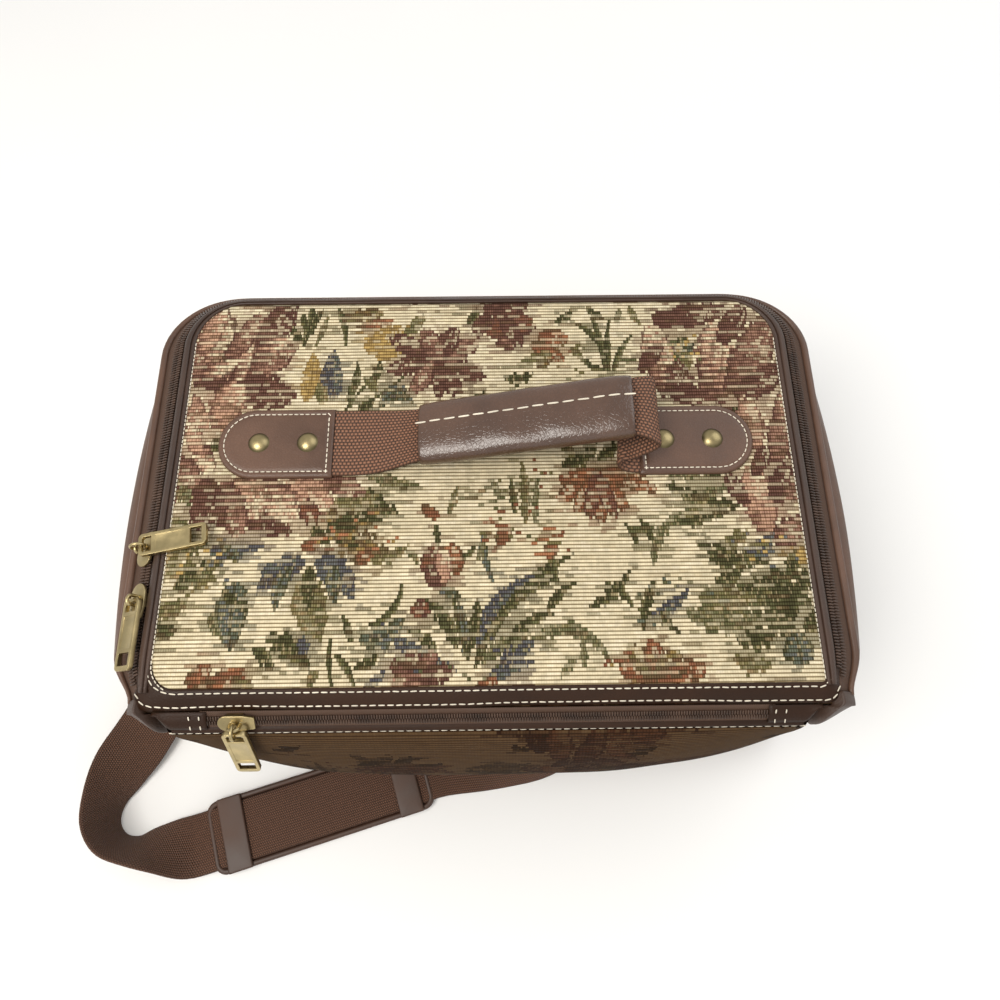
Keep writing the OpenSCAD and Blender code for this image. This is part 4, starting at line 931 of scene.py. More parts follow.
# Leaves: root and tip, width, bend, teeth, inks
LEAVES = [
    (66, 64, 68, 33, 11, 0.04, 0, SUN), (82, 63, 80, 31, 12, -0.06, 0, DEEP),
    (75, 66, 72, 52, 8, 0.05, 0, MOSS), (88, 64, 93, 39, 5, 0.1, 0, LEAF),
    (45, 56, 50, 69, 8, 0.1, 2, DARK), (54, 16, 62, 25, 6, 0.1, 2, DARK), (72, 5, 62, 30, 6, 0.08, 0, LEAF),
    (80, 3, 86, 30, 4, -0.05, 0, LEAF), (60, 7, 68, 22, 4, 0.1, 0, DARK), (75, 10, 69, 29, 4, 0, 0, MOSS),
    (66, 2, 64, 16, 4, 0, 0, LEAF), (110, 44, 88, 70, 2, 0.06, 0, DARK),
    (120, 48, 95, 67, 2, -0.06, 0, DARK), (100, 54, 106, 38, 6, 0.1, 2, DARK),
    (121, 56, 106, 69, 10, 0.1, 0, POND), (95, 70, 104, 63, 6, 0.1, 2, DARK),
    (105, 59, 97, 50, 6, 0.1, 0, MOSS), (90, 69, 88, 52, 4, 0.1, 0, LEAF),
    (125, 66, 115, 62, 6, 0.1, 0, POND), (155, 16, 160, 4, 6, 0.1, 0, LEAF),
    (153, 66, 165, 59, 6, 0.1, 0, DARK), (175, 50, 192, 48, 8, 0.12, 3, DARK),
    (205, 16, 215, 6, 6, 0.1, 0, LEAF), (232, 49, 224, 6, 4, 0.05, 0, LEAF),
    (234, 49, 236, 14, 4, -0.03, 0, DARK), (236, 49, 248, 24, 4, -0.06, 0, LEAF),
    (232, 35, 214, 14, 4, 0.1, 0, DARK), (224, 4, 234, 14, 6, 0.1, 2, LEAF),
    (248, 4, 254, 17, 5, 0.1, 0, MOSS), (220, 39, 232, 46, 4, 0.1, 2, DARK),
    (240, 39, 250, 39, 4, 0.1, 0, LEAF), (213, 31, 222, 42, 4, 0, 0, MOSS),
    (240, 16, 243, 5, 4, 0, 0, FERN), (265, 29, 286, 23, 4, 0.12, 0, SUN),
    (271, 43, 284, 35, 10, 0.1, 0, MOSS), (276, 39, 286, 29, 6, -0.1, 0, POND),
    (272, 31, 280, 25, 5, 0, 0, LEAF), (295, 78, 304, 69, 6, 0.1, 2, DARK),
    (285, 79, 295, 84, 6, 0.1, 2, LEAF), (205, 104, 225, 90, 10, 0.12, 3, DARK),
    (225, 101, 240, 92, 8, -0.1, 3, LEAF), (212, 100, 203, 89, 6, 0.1, 0, MOSS),
    (235, 105, 250, 100, 6, 0.1, 0, DARK), (260, 113, 300, 106, 8, -0.06, 4, FERN),
    (260, 115, 298, 127, 8, 0.08, 4, LEAF), (272, 110, 280, 100, 6, 0.1, 0, MOSS),
    (282, 111, 295, 101, 6, 0.1, 2, DARK), (250, 159, 269, 130, 6, -0.14, 4, FERN),
    (268, 132, 299, 117, 6, -0.12, 4, FERN), (258, 136, 295, 129, 6, 0.06, 3, LEAF),
    (269, 134, 282, 123, 5, 0, 0, MOSS), (242, 148, 237, 137, 4, 0.1, 2, DARK),
    (250, 147, 244, 134, 4, 0.1, 2, DARK), (239, 141, 252, 139, 4, 0, 2, LEAF),
    (272, 146, 309, 158, 9, 0.1, 4, DARK), (282, 159, 311, 146, 10, 0.1, 4, LEAF),
    (299, 155, 312, 144, 9, 0.1, 0, DEEP), (318, 158, 332, 152, 9, 0.1, 0, MOSS),
    (288, 147, 300, 141, 8, 0.1, 2, MOSS), (275, 181, 326, 157, 16, 0.1, 6, LEAF),
    (268, 188, 300, 176, 14, -0.1, 5, MOSS), (312, 185, 327, 161, 14, 0.08, 3, DARK),
    (309, 168, 318, 201, 15, 0.08, 4, DARK), (318, 211, 316, 193, 16, 0.04, 0, POND),
    (264, 183, 302, 185, 12, 0.14, 4, FERN), (288, 199, 310, 191, 11, 0.1, 4, DARK),
    (280, 168, 295, 162, 8, 0.1, 0, LEAF), (322, 194, 332, 181, 10, 0.1, 0, LEAF),
    (285, 207, 305, 210, 8, 0.1, 3, MOSS), (245, 185, 267, 171, 6, 0.1, 5, DEEP),
    (216, 181, 238, 161, 6, 0.1, 5, DARK), (250, 167, 242, 193, 6, 0.06, 5, DARK),
    (238, 181, 225, 168, 4, 0.1, 3, LEAF), (252, 183, 260, 194, 5, 0.1, 3, LEAF),
    (159, 210, 210, 153, 8, -0.12, 0, DARK), (160, 205, 201, 166, 7, -0.14, 0, LEAF),
    (160, 200, 191, 163, 7, -0.14, 0, DEEP), (162, 208, 187, 194, 7, -0.1, 0, FERN),
    (185, 197, 226, 209, 8, -0.26, 0, FERN), (172, 211, 188, 198, 10, -0.1, 0, DEEP),
    (154, 205, 150, 176, 6, 0.06, 4, POND), (150, 200, 134, 176, 8, 0.1, 5, LEAF),
    (150, 211, 112, 187, 8, -0.08, 0, DEEP), (102, 197, 124, 185, 12, 0.12, 3, POND),
    (102, 190, 122, 163, 4, 0.22, 0, LEAF), (156, 202, 160, 175, 6, 0.04, 4, DARK),
    (165, 217, 188, 207, 8, -0.1, 0, DEEP), (140, 202, 125, 191, 6, 0.1, 3, DARK),
    (175, 199, 200, 183, 6, -0.12, 0, LEAF), (195, 183, 210, 168, 5, -0.1, 0, DARK),
    (212, 211, 212, 195, 4, 0, 3, FERN), (208, 207, 200, 215, 5, 0, 0, FERN),
    (140, 168, 152, 174, 6, 0.1, 0, POND), (148, 170, 156, 207, 2, 0.04, 0, DARK),
    (139, 136, 140, 148, 4, 0, 3, DARK), (150, 155, 160, 147, 4, 0.1, 2, LEAF),
    (130, 157, 122, 149, 4, 0.1, 2, MOSS), (185, 136, 184, 102, 6, 0.03, 8, MOSS),
    (180, 131, 178, 110, 4, 0, 6, LEAF), (190, 136, 192, 110, 4, 0, 6, FERN),
    (150, 122, 165, 117, 4, 0.1, 0, FERN), (163, 141, 169, 169, 4, 0.06, 4, POND),
    (172, 123, 165, 110, 4, 0.1, 4, FERN), (160, 157, 165, 141, 4, 0, 4, FERN),
    (200, 168, 198, 149, 4, 0, 4, LEAF), (145, 131, 150, 115, 4, 0, 3, MOSS),
    (82, 128, 119, 154, 14, 0.1, 4, BARK), (100, 115, 122, 132, 9, 0.1, 3, LEAF),
    (100, 105, 131, 113, 8, 0.1, 3, FERN), (82, 140, 111, 133, 9, -0.1, 3, DARK),
    (85, 123, 110, 118, 8, 0.1, 3, MOSS), (90, 147, 105, 141, 6, 0.1, 0, BARK),
    (105, 155, 125, 147, 8, 0.1, 3, MOSS), (75, 136, 85, 147, 8, 0.1, 3, DARK),
    (72, 154, 49, 172, 14, 0.1, 0, DEEP), (78, 154, 98, 175, 15, -0.1, 0, DEEP),
    (74, 162, 83, 196, 18, 0.06, 0, MOSS), (66, 157, 59, 181, 8, 0.1, 0, POND),
    (88, 157, 89, 178, 8, 0.05, 0, POND), (75, 157, 75, 181, 8, 0, 0, DARK),
    (38, 166, 39, 200, 18, 0.03, 0, POND), (32, 170, 49, 179, 6, 0.1, 2, DARK),
    (28, 181, 34, 194, 6, 0.1, 0, FERN), (2, 154, 29, 164, 14, 0.12, 3, MOSS),
    (9, 170, 29, 156, 11, -0.1, 3, LEAF), (0, 182, 16, 172, 10, 0.1, 3, MOSS),
    (2, 147, 22, 144, 8, 0.1, 0, FERN), (22, 149, 51, 146, 9, 0.08, 0, DEEP),
    (38, 155, 28, 147, 6, 0.1, 0, POND), (0, 191, 12, 189, 8, 0.1, 0, LEAF),
    (56, 193, 79, 211, 12, -0.1, 5, DARK), (75, 203, 72, 192, 6, 0.1, 0, DEEP),
    (88, 194, 90, 219, 3, 0.05, 0, DARK), (90, 202, 101, 219, 4, -0.06, 0, LEAF),
    (98, 198, 92, 182, 4, 0.06, 0, DARK), (60, 210, 50, 199, 8, 0.1, 3, LEAF),
    (100, 210, 112, 202, 6, 0.1, 0, DARK), (82, 210, 78, 219, 5, 0, 0, MOSS),
    (105, 219, 115, 210, 5, 0.1, 0, DEEP), (10, 105, 4, 123, 10, 0.1, 3, MOSS),
    (5, 121, 15, 115, 10, 0.1, 0, FERN), (2, 131, 15, 141, 9, 0.1, 3, MOSS),
    (95, 94, 82, 86, 8, 0.1, 3, LEAF), (15, 92, 28, 84, 8, 0.1, 3, DARK),
    (165, 86, 180, 79, 8, 0.1, 3, LEAF), (115, 86, 130, 79, 6, 0.1, 3, MOSS),
]
# Sprays of single threads: place, spread along and across the ribs, share of cells, inks
SPRAYS = [
    (185, 121, 18, 24, 0.2, ("green", "olive", "rust", "sage")),
    (198, 148, 10, 10, 0.25, ("orange", "rust", "olive")),
    (172, 141, 11, 12, 0.24, ("rust", "salmon", "olive")),
    (158, 118, 18, 8, 0.16, ("sage", "olive", "tan")),
    (278, 34, 11, 9, 0.5, ("olive", "gold", "green", "cream")),
    (308, 152, 20, 10, 0.24, ("gold", "blue", "olive")),
    (98, 141, 22, 16, 0.22, ("orange", "ochre", "forest")),
    (20, 155, 20, 16, 0.26, ("olive", "gold", "blue", "sage")),
    (262, 181, 25, 16, 0.12, ("sage", "green", "teal")),
    (150, 199, 35, 18, 0.12, ("green", "navy", "sage")),
    (242, 210, 22, 10, 0.2, ("rust", "ochre", "brown")), (110, 24, 20, 10, 0.2, ("gold", "ochre", "sand")),
    (212, 39, 15, 13, 0.14, ("olive", "rust", "sage")),
]


class Canvas:
    """A repeating field of woven cells, filled with petals, leaves and sprays."""

    def __init__(self, width, depth, thread, rib, seed):
        self.w, self.d = width, depth
        self.cols, self.rows = round(width / thread), round(depth / rib)
        self.x, self.y = np.meshgrid(
            (np.arange(self.cols) + 0.5) * width / self.cols,
            (np.arange(self.rows) + 0.5) * depth / self.rows
        )
        rng = np.random.default_rng(seed)
        self.noise, self.dash, self.edge, self.long = (self.runs(rng, n) for n in (3, 7, 6, 20))
        self.step = (np.arange(self.rows) % 2 - 0.5)[:, None]
        self.rgb = np.array(INK["cream"])[None, None] * (0.94 + 0.1 * self.long)[..., None]
        self.drawn = np.zeros(self.x.shape, bool)
        self.tint(self.long > 0.86, "pale", 0.7)
        self.tint(self.kept(self.long < 0.12, 5), "sand", 0.3)

    def runs(self, rng, length):
        """Even chances from 0 to 1 that hold over short runs of cells along a rib."""
        field = rng.random((self.rows, self.cols))
        field = sum(np.roll(field, k, 1) for k in range(length))
        return field.ravel().argsort().argsort().reshape(field.shape) / field.size

    def kept(self, mask, length):
        """The parts of a mask that run on for at least a number of cells along a rib."""
        core = np.all([np.roll(mask, k, 1) for k in range(length)], axis=0)
        return np.any([np.roll(core, -k, 1) for k in range(length)], axis=0)

    def lay(self, mask, ink):
        self.rgb[mask] = INK[ink]

    def frame(self, x, y, angle):
        dx = (self.x - x + self.w / 2) % self.w - self.w / 2
        dy = (self.y - y + self.d / 2) % self.d - self.d / 2
        c, s = math.cos(angle), math.sin(angle)
        return dx * c + dy * s, dy * c - dx * s

    def fill(self, mask, tone, inks, soft):
        """Blends the inks along the tone, broken by short runs along the ribs."""
        mask = self.kept(mask, 3)
        at = np.clip(tone + (self.dash - 0.5) * soft + self.step * 0.3, 0, 1)[mask] * (len(inks) - 1)
        table = np.array([INK[i] for i in inks])
        low = np.minimum(at.astype(int), len(inks) - 2)
        part = (at - low)[:, None]
        self.rgb[mask] = (
            table[low] * (1 - part) + table[low + 1] * part
        ) * (0.93 + 0.14 * self.noise[mask])[:, None]
        self.drawn |= mask

    def tint(self, mask, ink, share):
        self.rgb[mask] = self.rgb[mask] * (1 - share) + np.array(INK[ink]) * share

    def petal(self, x0, y0, x1, y1, width, inks):
        length = math.hypot(x1 - x0, y1 - y0)
        along, side = self.frame(x0, y0, math.atan2(y1 - y0, x1 - x0))
        t = np.clip(along / length, 0, 1)
        half = width / 2 * np.sin(math.pi * np.clip(0.1 + 0.84 * t, 0, 1)) ** 0.6 * (0.82 + 0.3 * self.edge)
        mask = (along > -1) & (along < length * (0.94 + 0.1 * self.edge)) & (np.abs(side) < half)
        rim = side / np.maximum(half, 1e-6)
        self.fill(mask, 0.72 * t + 0.15 * (rim + 1), inks, 0.22)
        self.tint(mask & (np.abs(rim) > 0.8), inks[0], 0.75)
        vein = np.abs((side / np.maximum(half, 1e-6) * 2.6 + 0.3 * self.edge) % 1 - 0.5) < 0.12
        self.tint(mask & vein & (t < 0.8), inks[0], 0.45)
        self.tint(mask & (self.edge > 0.62) & (rim > -0.2) & (rim < 0.7) & (t > 0.45), "cream", 0.55)

    def leaf(self, x0, y0, x1, y1, width, bend, teeth, inks):
        length = math.hypot(x1 - x0, y1 - y0)
        along, side = self.frame(x0, y0, math.atan2(y1 - y0, x1 - x0))
        t = np.clip(along / length, 0, 1)
        side = side - bend * 4 * t * (1 - t) * length
        half = width / 2 * np.sin(math.pi * t**0.8) ** 0.7 * (0.82 + 0.3 * self.edge)
        if teeth:
            half = half * (0.6 + 0.7 * (1 - (t * teeth) % 1))
        half = np.maximum(half, 0.8)
        mask = (along > 0) & (along < length) & (np.abs(side) < half)
        rim = side / half
        self.fill(mask, 0.52 + 0.45 * rim, inks, 0.3)
        if width > 4:
            self.tint(mask & (np.abs(side) < 0.7), inks[0], 0.8)
            self.tint(mask & (np.abs((along - np.abs(side)) % 4.2) < 1.0) & (self.edge < 0.6), "sand", 0.5)
            self.tint(mask & (np.abs(rim) > 0.8), inks[0], 0.6)

    def hatch(self):
        """Runs of a motif's own colour over the ground round it, and runs of ground over the motif."""
        near, hue = self.drawn.astype(float), self.rgb * self.drawn[..., None]
        for axis, reach in ((1, 14), (0, 4)):
            near, hue = (
                sum(np.roll(k, j, axis) for j in range(-reach, reach + 1)) / (2 * reach + 1)
                for k in (near, hue)
            )
        hue = hue / np.maximum(near, 1e-6)[..., None]
        for field, reach, part in ((self.long, 1.6 * near**1.4, 0.6), (self.dash, 0.7 * near**1.2, 0.4)):
            mask = self.kept(~self.drawn & (field < reach), 5)
            self.rgb[mask] = self.rgb[mask] * (1 - part) + hue[mask] * part
        self.tint(self.kept(self.drawn & (self.long > 0.62) & (self.step > 0), 5), "cream", 0.4)
        self.tint(self.kept(self.drawn & (self.long < 0.14), 4), "brown", 0.5)

    def spray(self, x, y, a, b, share, inks):
        along, side = self.frame(x, y, 0)
        inside = (along / a) ** 2 + (side / b) ** 2 < 1
        for k, ink in enumerate(inks):
            low = k / len(inks)
            turn = (self.dash >= low) & (self.dash < low + 1 / len(inks))
            self.lay(self.kept(inside & (self.edge < 1.5 * share) & turn, 3), ink)

    def cells(self, u, v):
        """Colours of the cells at threads u and ribs v."""
        return self.rgb[np.mod(v, self.rows), np.mod(np.asarray(u).astype(int), self.cols)]


def canvas():
    cloth = bpy.context.scene.case_cloth
    if "canvas" not in SHARED:
        field = Canvas(LID_W, LID_D, cloth.thread_pitch / MM, cloth.rib_pitch / MM, cloth.seed)
        for leaf in LEAVES:
            field.leaf(*leaf)
        for petal in PETALS:
            field.petal(*petal)
        for spray in SPRAYS:
            field.spray(*spray)
        field.hatch()
        SHARED["canvas"] = field
    return SHARED["canvas"]


SHARED = {}


def woven(name, grid, material, shift=(0, 0), pitch=None, flip=False, keep=None):
    """A tapestry sheet from a grid with one row for each rib and columns at a pitch in millimetres."""
    thread = bpy.context.scene.case_cloth.thread_pitch / MM
    step = (pitch or thread) / thread
    rows, cols = grid.shape[:2]
    faces = grid_faces(rows, cols, flip=flip)
    v, u = np.meshgrid(np.arange(rows - 1), np.arange(cols - 1), indexing="ij")
    colours = canvas().cells(u * step + shift[0], v + shift[1]).reshape(-1, 3)
    v, u = np.meshgrid(np.arange(rows), np.arange(cols), indexing="ij")
    uv = np.stack([u, v], -1).astype(float)
    if keep is not None:
        keep = keep.reshape(-1)
        faces, colours = faces[keep], colours[keep]
    return new_piece(name, grid, faces, material, uv, colours)


# Pieces


class CASE_OT_lid(bpy.types.Operator):
    """Tapestry lid panel with its rolled edge, and the lining under it"""

    bl_idname = "case.lid"
    bl_label = "Lid Cloth"

    def execute(self, context):
        field = canvas()
        x = np.linspace(-LID_W / 2, LID_W / 2, field.cols + 1)
        y = np.linspace(LID_BACK, LID_FRONT, field.rows + 1)
        gx, gy = np.meshgrid(x, y)

        def edge(r_front, r_back):
            into = np.zeros_like(y)
            back, front = y > LID_BACK - r_back, y < LID_FRONT + r_front
            into[back] = r_back - np.sqrt(np.maximum(0, r_back**2 - (y[back] - LID_BACK + r_back) ** 2))
            into[front] = r_front - np.sqrt(np.maximum(0, r_front**2 - (LID_FRONT + r_front - y[front]) ** 2))
            return into

        left, right = -LID_W / 2 + edge(LEFT_R, BACK_R), LID_W / 2 - edge(FRONT_R, BACK_R)
        px = np.clip(gx, left[:, None], right[:, None])
        away = np.minimum(
            np.minimum(px - left[:, None], right[:, None] - px), np.minimum(LID_BACK - gy, gy - LID_FRONT)
        )
        roll = 2.0
        drop = np.where(away < roll, roll - np.sqrt(np.maximum(0, roll**2 - (roll - away) ** 2)), 0)
        drop = drop + 0.8 * np.clip(1 - away / 16, 0, 1) ** 2
        wave = 0.35 * (ripple(np.stack([px, gy], -1), 70, 3) - 1)
        corner = 0.8 * np.exp(-(((px + 165) / 34) ** 2 + ((gy - LID_FRONT) / 26) ** 2))
        grid = np.stack([px, gy, CASE_H - drop + wave * np.clip(away / 20, 0, 1) - corner], -1)
        width = np.diff(px, axis=1)
        keep = (width[:-1] + width[1:]) > 0.2
        cloth = woven("lid_cloth", grid, materials()["tapestry"], flip=True, keep=keep)
        settle(cloth, "lid", "tapestry", "lid_panel")
        rows = []
        inner = gy[:, 0] < LID_BACK - BACK_R
        for line, shift in ((left, 1.3), (right, -1.3)):
            tip = np.stack(
                [line + shift, y, np.full_like(y, CASE_H - 0.35)], 1
            )[inner & (y > LID_FRONT + 1.5)]
            rows.append((tip[:-1] if shift < 0 else tip, (0.35 * np.sign(-shift), 0, 0.94)))
        settle(stitches("lid_edge_stitches", rows, 1.9, 0.6, 2.5), "lid", "tapestry")
        cells = np.ix_(*(np.linspace(0, n, n // 6).astype(int) for n in (field.rows, field.cols)))
        base = np.stack([px, gy, np.full_like(px, CASE_H - LID_LINING_DROP)], -1)[cells]
        base[..., 2] += 0.4 * ripple(base[..., :2], 50, 9) + 2.3 * (away[cells] < 0.1)
        lining = new_piece(
            "lid_lining_cloth", base, grid_faces(*base.shape[:2]), materials()["lining"], base[..., :2]
        )
        settle(lining, "lid", "lining", "lid_lining")
        return {"FINISHED"}


class CASE_OT_walls(bpy.types.Operator):
    """Tapestry side, back and front walls and the lining inside them"""

    bl_idname = "case.walls"
    bl_label = "Walls"

    def execute(self, context):
        rib = context.scene.case_cloth.rib_pitch / MM
        path = u_path(WALL_PITCH, HINGE_Y)
        shares = np.array(WALL_SHARES, float)
        level = np.linspace(1, 0, round((WALL_Z - BASE_T) / rib) + 1)
        fine = np.linspace(-0.2, 1.2, 1401)
        kernel = np.hanning(161) / np.hanning(161).sum()
        eased = [
            np.interp(level, fine, np.convolve(np.interp(fine, shares[:, 0], shares[:, k]), kernel, "same"))
            for k in (1, 2)
        ]

        def rows(inset):
            return [
                (WALL_G - BASE_INSET * a, BASE_T + t * (WALL_Z - BASE_T), b, inset)
                for t, a, b in zip(level, *eased)
            ]

        grid = u_sheet(path, rows(0))
        grid[..., :2] += path[1][None] * (0.5 * ripple(grid, 60, 4))[..., None]
        wall = woven("wall_cloth", grid, materials()["tapestry"], (60, 20), WALL_PITCH)
        settle(wall, "case", "tapestry", "left_wall", "right_wall", "back_wall")
        edge = WALL_G - BASE_INSET * eased[0][-1]
        base = u_sheet(
            u_path(TRIM_STEP, HINGE_Y),
            [(edge, z, eased[1][-1], inset) for z, inset in ((0.0, 1.2), (0.8, 0.2), (BASE_T, 0.2))]
        )
        settle(tube("base_vinyl", base, materials()["vinyl"]), "case", "vinyl", "base_panel")
        inner_path = u_path(6.0, FRONT_IN + CLEAR)
        foot = (WALL_G - BASE_INSET, BASE_T + BOARD_T + LINING_UP, 0.2, WALL_T + LINING_IN)
        inner = u_sheet(
            inner_path, [(WALL_G, WALL_Z + 9, 0.92, 2.8)] + rows(WALL_T + LINING_IN)[::4] + [foot]
        )
        inner[..., 2] = np.maximum(inner[..., 2], foot[1])
        inner[..., :2] += 0.4 * ripple(inner, 50, 5)[..., None]
        shell = Shell().grid(inner, flip=True, uv=inner[..., [0, 2]] + inner[..., [1, 1]])
        plan = u_sheet(inner_path, [(*foot[:3], WALL_T + 0.8)])[0]
        half = len(plan) // 2
        across = np.linspace(0, 1, 24)[None, :, None]
        floor = plan[:half, None] * (1 - across) + plan[::-1][:half, None] * across
        shell.grid(floor, uv=floor[..., :2])
        edge_z = np.array(
            [*(BASE_T + shares[:, 0] * (WALL_Z - BASE_T)), BAND_Z, HINGE_Z - VINYL_T - 2 * CLEAR]
        )
        top_g = slope_at((ZIP_Z - edge_z[-1]) / math.sin(SLOPE), 0)[0]
        edge_g = np.array([*(WALL_G - BASE_INSET * shares[:, 1]), WALL_G, top_g])

        def wide(z, k, inset=0.0):
            """Place along x at a share k of the front's drawn-in width."""
            return k * (
                LID_W / 2 + np.interp(z, edge_z, edge_g) * (1 - np.where(k < 0, LEFT_IN, RIGHT_IN)) - inset
            )

        spread = np.linspace(-1, 1, 40)
        front = np.array(
            [
                [(wide(z, k, WALL_T + 3), FRONT_IN + 1.3 + 0.3 * math.sin(9 * k), z) for k in spread]
                for z in (8.3, 40, 80, 120, WALL_Z + 20)
            ]
        )
        shell.grid(front, uv=front[..., [0, 2]])
        settle(shell.piece("lining_cloth", materials()["lining"]), "case", "lining", "lining")
        z = np.linspace(edge_z[-1], BASE_T, round((edge_z[-1] - BASE_T) / rib) + 1)
        z = np.concatenate([np.full(3, edge_z[-1]), z])[:, None]
        u = np.concatenate([[-1] * 4, np.linspace(-1, 1, 341), [1] * 4])[None]
        turned = WALL_PITCH * np.arange(4, 0, -1)
        deep = np.maximum(
            np.pad(turned[:3], (0, len(z) - 3))[:, None],
            np.concatenate([turned, np.zeros(341), turned[::-1]])[None]
        )
        front = np.stack(np.broadcast_arrays(wide(z, u), HINGE_Y + deep, z), -1)
        # The front wall's cloth takes the pocket material, with its painted shade.
        cloth = woven("front_cloth", front, materials()["pocket"], (130, 60), WALL_PITCH, flip=True)
        settle(cloth, "case", "tapestry", "front_wall")
        return {"FINISHED"}


def pocket_out(x, v):
    lip = SHELF_RUN * smooth(v) * smooth((POCKET_HALF - np.abs(x)) / (POCKET_HALF - POCKET_FLAT))
    arch = np.maximum(0, np.sin(math.pi * v**0.9))
    return (SWELL - SHELF_RUN / 2) * arch**0.75 * (1 - (np.abs(x) / POCKET_HALF) ** 3.5) + lip


class CASE_OT_pocket(bpy.types.Operator):
    """Filled front pocket with its binding, zip and end tabs"""

    bl_idname = "case.pocket"
    bl_label = "Pocket"

    def execute(self, context):
        m = materials()
        cloth = context.scene.case_cloth
        rows = round(150 / (cloth.rib_pitch / MM))
        x, v = np.meshgrid(np.linspace(-POCKET_HALF, POCKET_HALF, 407), np.linspace(1, 0, rows + 1))
        out = pocket_out(x, v) + 2.0
        fold = ripple(np.stack([x * 0.6, v * 150], -1), 55, 12) * 1.2
        fold = fold * np.sin(math.pi * v) * (1 - (np.abs(x) / POCKET_HALF) ** 6)
        grid = np.stack(
            [x, HINGE_Y - CLEAR - out - fold, POCKET_BOTTOM + v * (POCKET_TOP - POCKET_BOTTOM)], -1
        )
        # The pocket cloth takes its painted shade from its material.
        settle(
            woven("pocket_cloth", grid, m["pocket"], (180, 35), 0.8, flip=True), "case", "pocket_tapestry",
            "pocket_panel"
        )
        along = np.linspace(-POCKET_FLAT, POCKET_FLAT, 120)

        def along_x(profile, xs=along):
            return np.stack([[(px, y, z) for y, z in profile] for px in xs])

        a = np.arange(14) * 2 * math.pi / 14
        centre = shelf_at(SHELF_L / 2 - BINDING_R, -BINDING_R)
        roll = [
            (
                centre[0] - 1.2 + 2.9 * math.cos(t),
                centre[1] - 1.0 + (2.0 if math.sin(t) > 0 else 3.6) * math.sin(t)
            )
            for t in a
        ]
        # The pocket's binding uses the trim vinyl with painted shade.
        settle(tube("pocket_binding_roll", along_x(roll), m["trim"]), "case", "vinyl", "pocket_binding")
        seam = [(px, centre[0] - 4.0, centre[1] - 1.2) for px in along]
        settle(stitches("pocket_binding_stitches", [(seam, (0, -0.75, 0.66))]), "case", "vinyl")
        zip_x = np.linspace(-POCKET_ZIP, POCKET_ZIP, 60)
        for side, name in ((-1, "upper"), (1, "lower")):
            s = np.linspace(0.25, SHELF_L / 2 - 0.4, 6) * side
            profile = [shelf_at(k, -0.05) for k in s] + [shelf_at(k, -0.75) for k in s[::-1]]
            uv = np.stack(np.broadcast_arrays(np.abs(np.concatenate([s, s[::-1]]))[None], zip_x[:, None]), -1)
            tape = tube("pocket_tape_" + name, along_x(profile, zip_x), m["tape"], uv=uv)
            settle(tape, "case", "zip_tape", *(["pocket_zip_tape"] if side < 0 else []))
            y, z = shelf_at(side * 1.25, 0.72)
            offset = 0.0 if side < 0 else 0.6
            line = [(px + offset, y, z) for px in zip_x]
            up = (0, -math.sin(SHELF), math.cos(SHELF))
            teeth = row_of(
                "pocket_teeth_" + name, [(line, up)], "y", 1.3 * MM, (1.05, 2.5, 1.4), 0.02, m["coil"]
            )
            settle(teeth, "case", "zip_coil", *(["pocket_zip_coil"] if side < 0 else []))
        rows = []
        for side, name in ((-1, "left"), (1, "right")):
            xs = np.linspace(POCKET_ZIP - 3, POCKET_HALF, 14)
            lip = smooth(np.maximum(0.2, (POCKET_HALF - xs) / (POCKET_HALF - POCKET_FLAT)))
            rings = []
            for px, k in zip(xs, np.maximum(lip, 0.15)):
                s0 = 0.4 - SHELF_L / 2
                s = np.linspace(s0, s0 + (SHELF_L - 1.2) * k, 7)
                puff = np.array([0.4, 0.9, 1.5, 1.9, 2.0, 1.8, 1.5])
                ring = [shelf_at(p, h) for p, h in zip(s, puff)] + [shelf_at(s[-1], 0.2), shelf_at(s[0], 0.2)]
                rings.append([(side * px, y, z) for y, z in ring])
            tab = tube("pocket_tab_" + name, np.array(rings), m["trim"])
            settle(tab, "case", "vinyl", "pocket_end_tab_" + name)
            for px in (POCKET_ZIP, POCKET_ZIP + 5):
                line = [(side * px, *shelf_at(s, 2.1)) for s in np.linspace(-2.4, 3.2, 6)]
                rows.append((line, (0, -math.sin(SHELF), math.cos(SHELF))))
        settle(stitches("pocket_tab_stitches", rows, 2.2, 0.7, 2.8), "case", "vinyl")
        return {"FINISHED"}


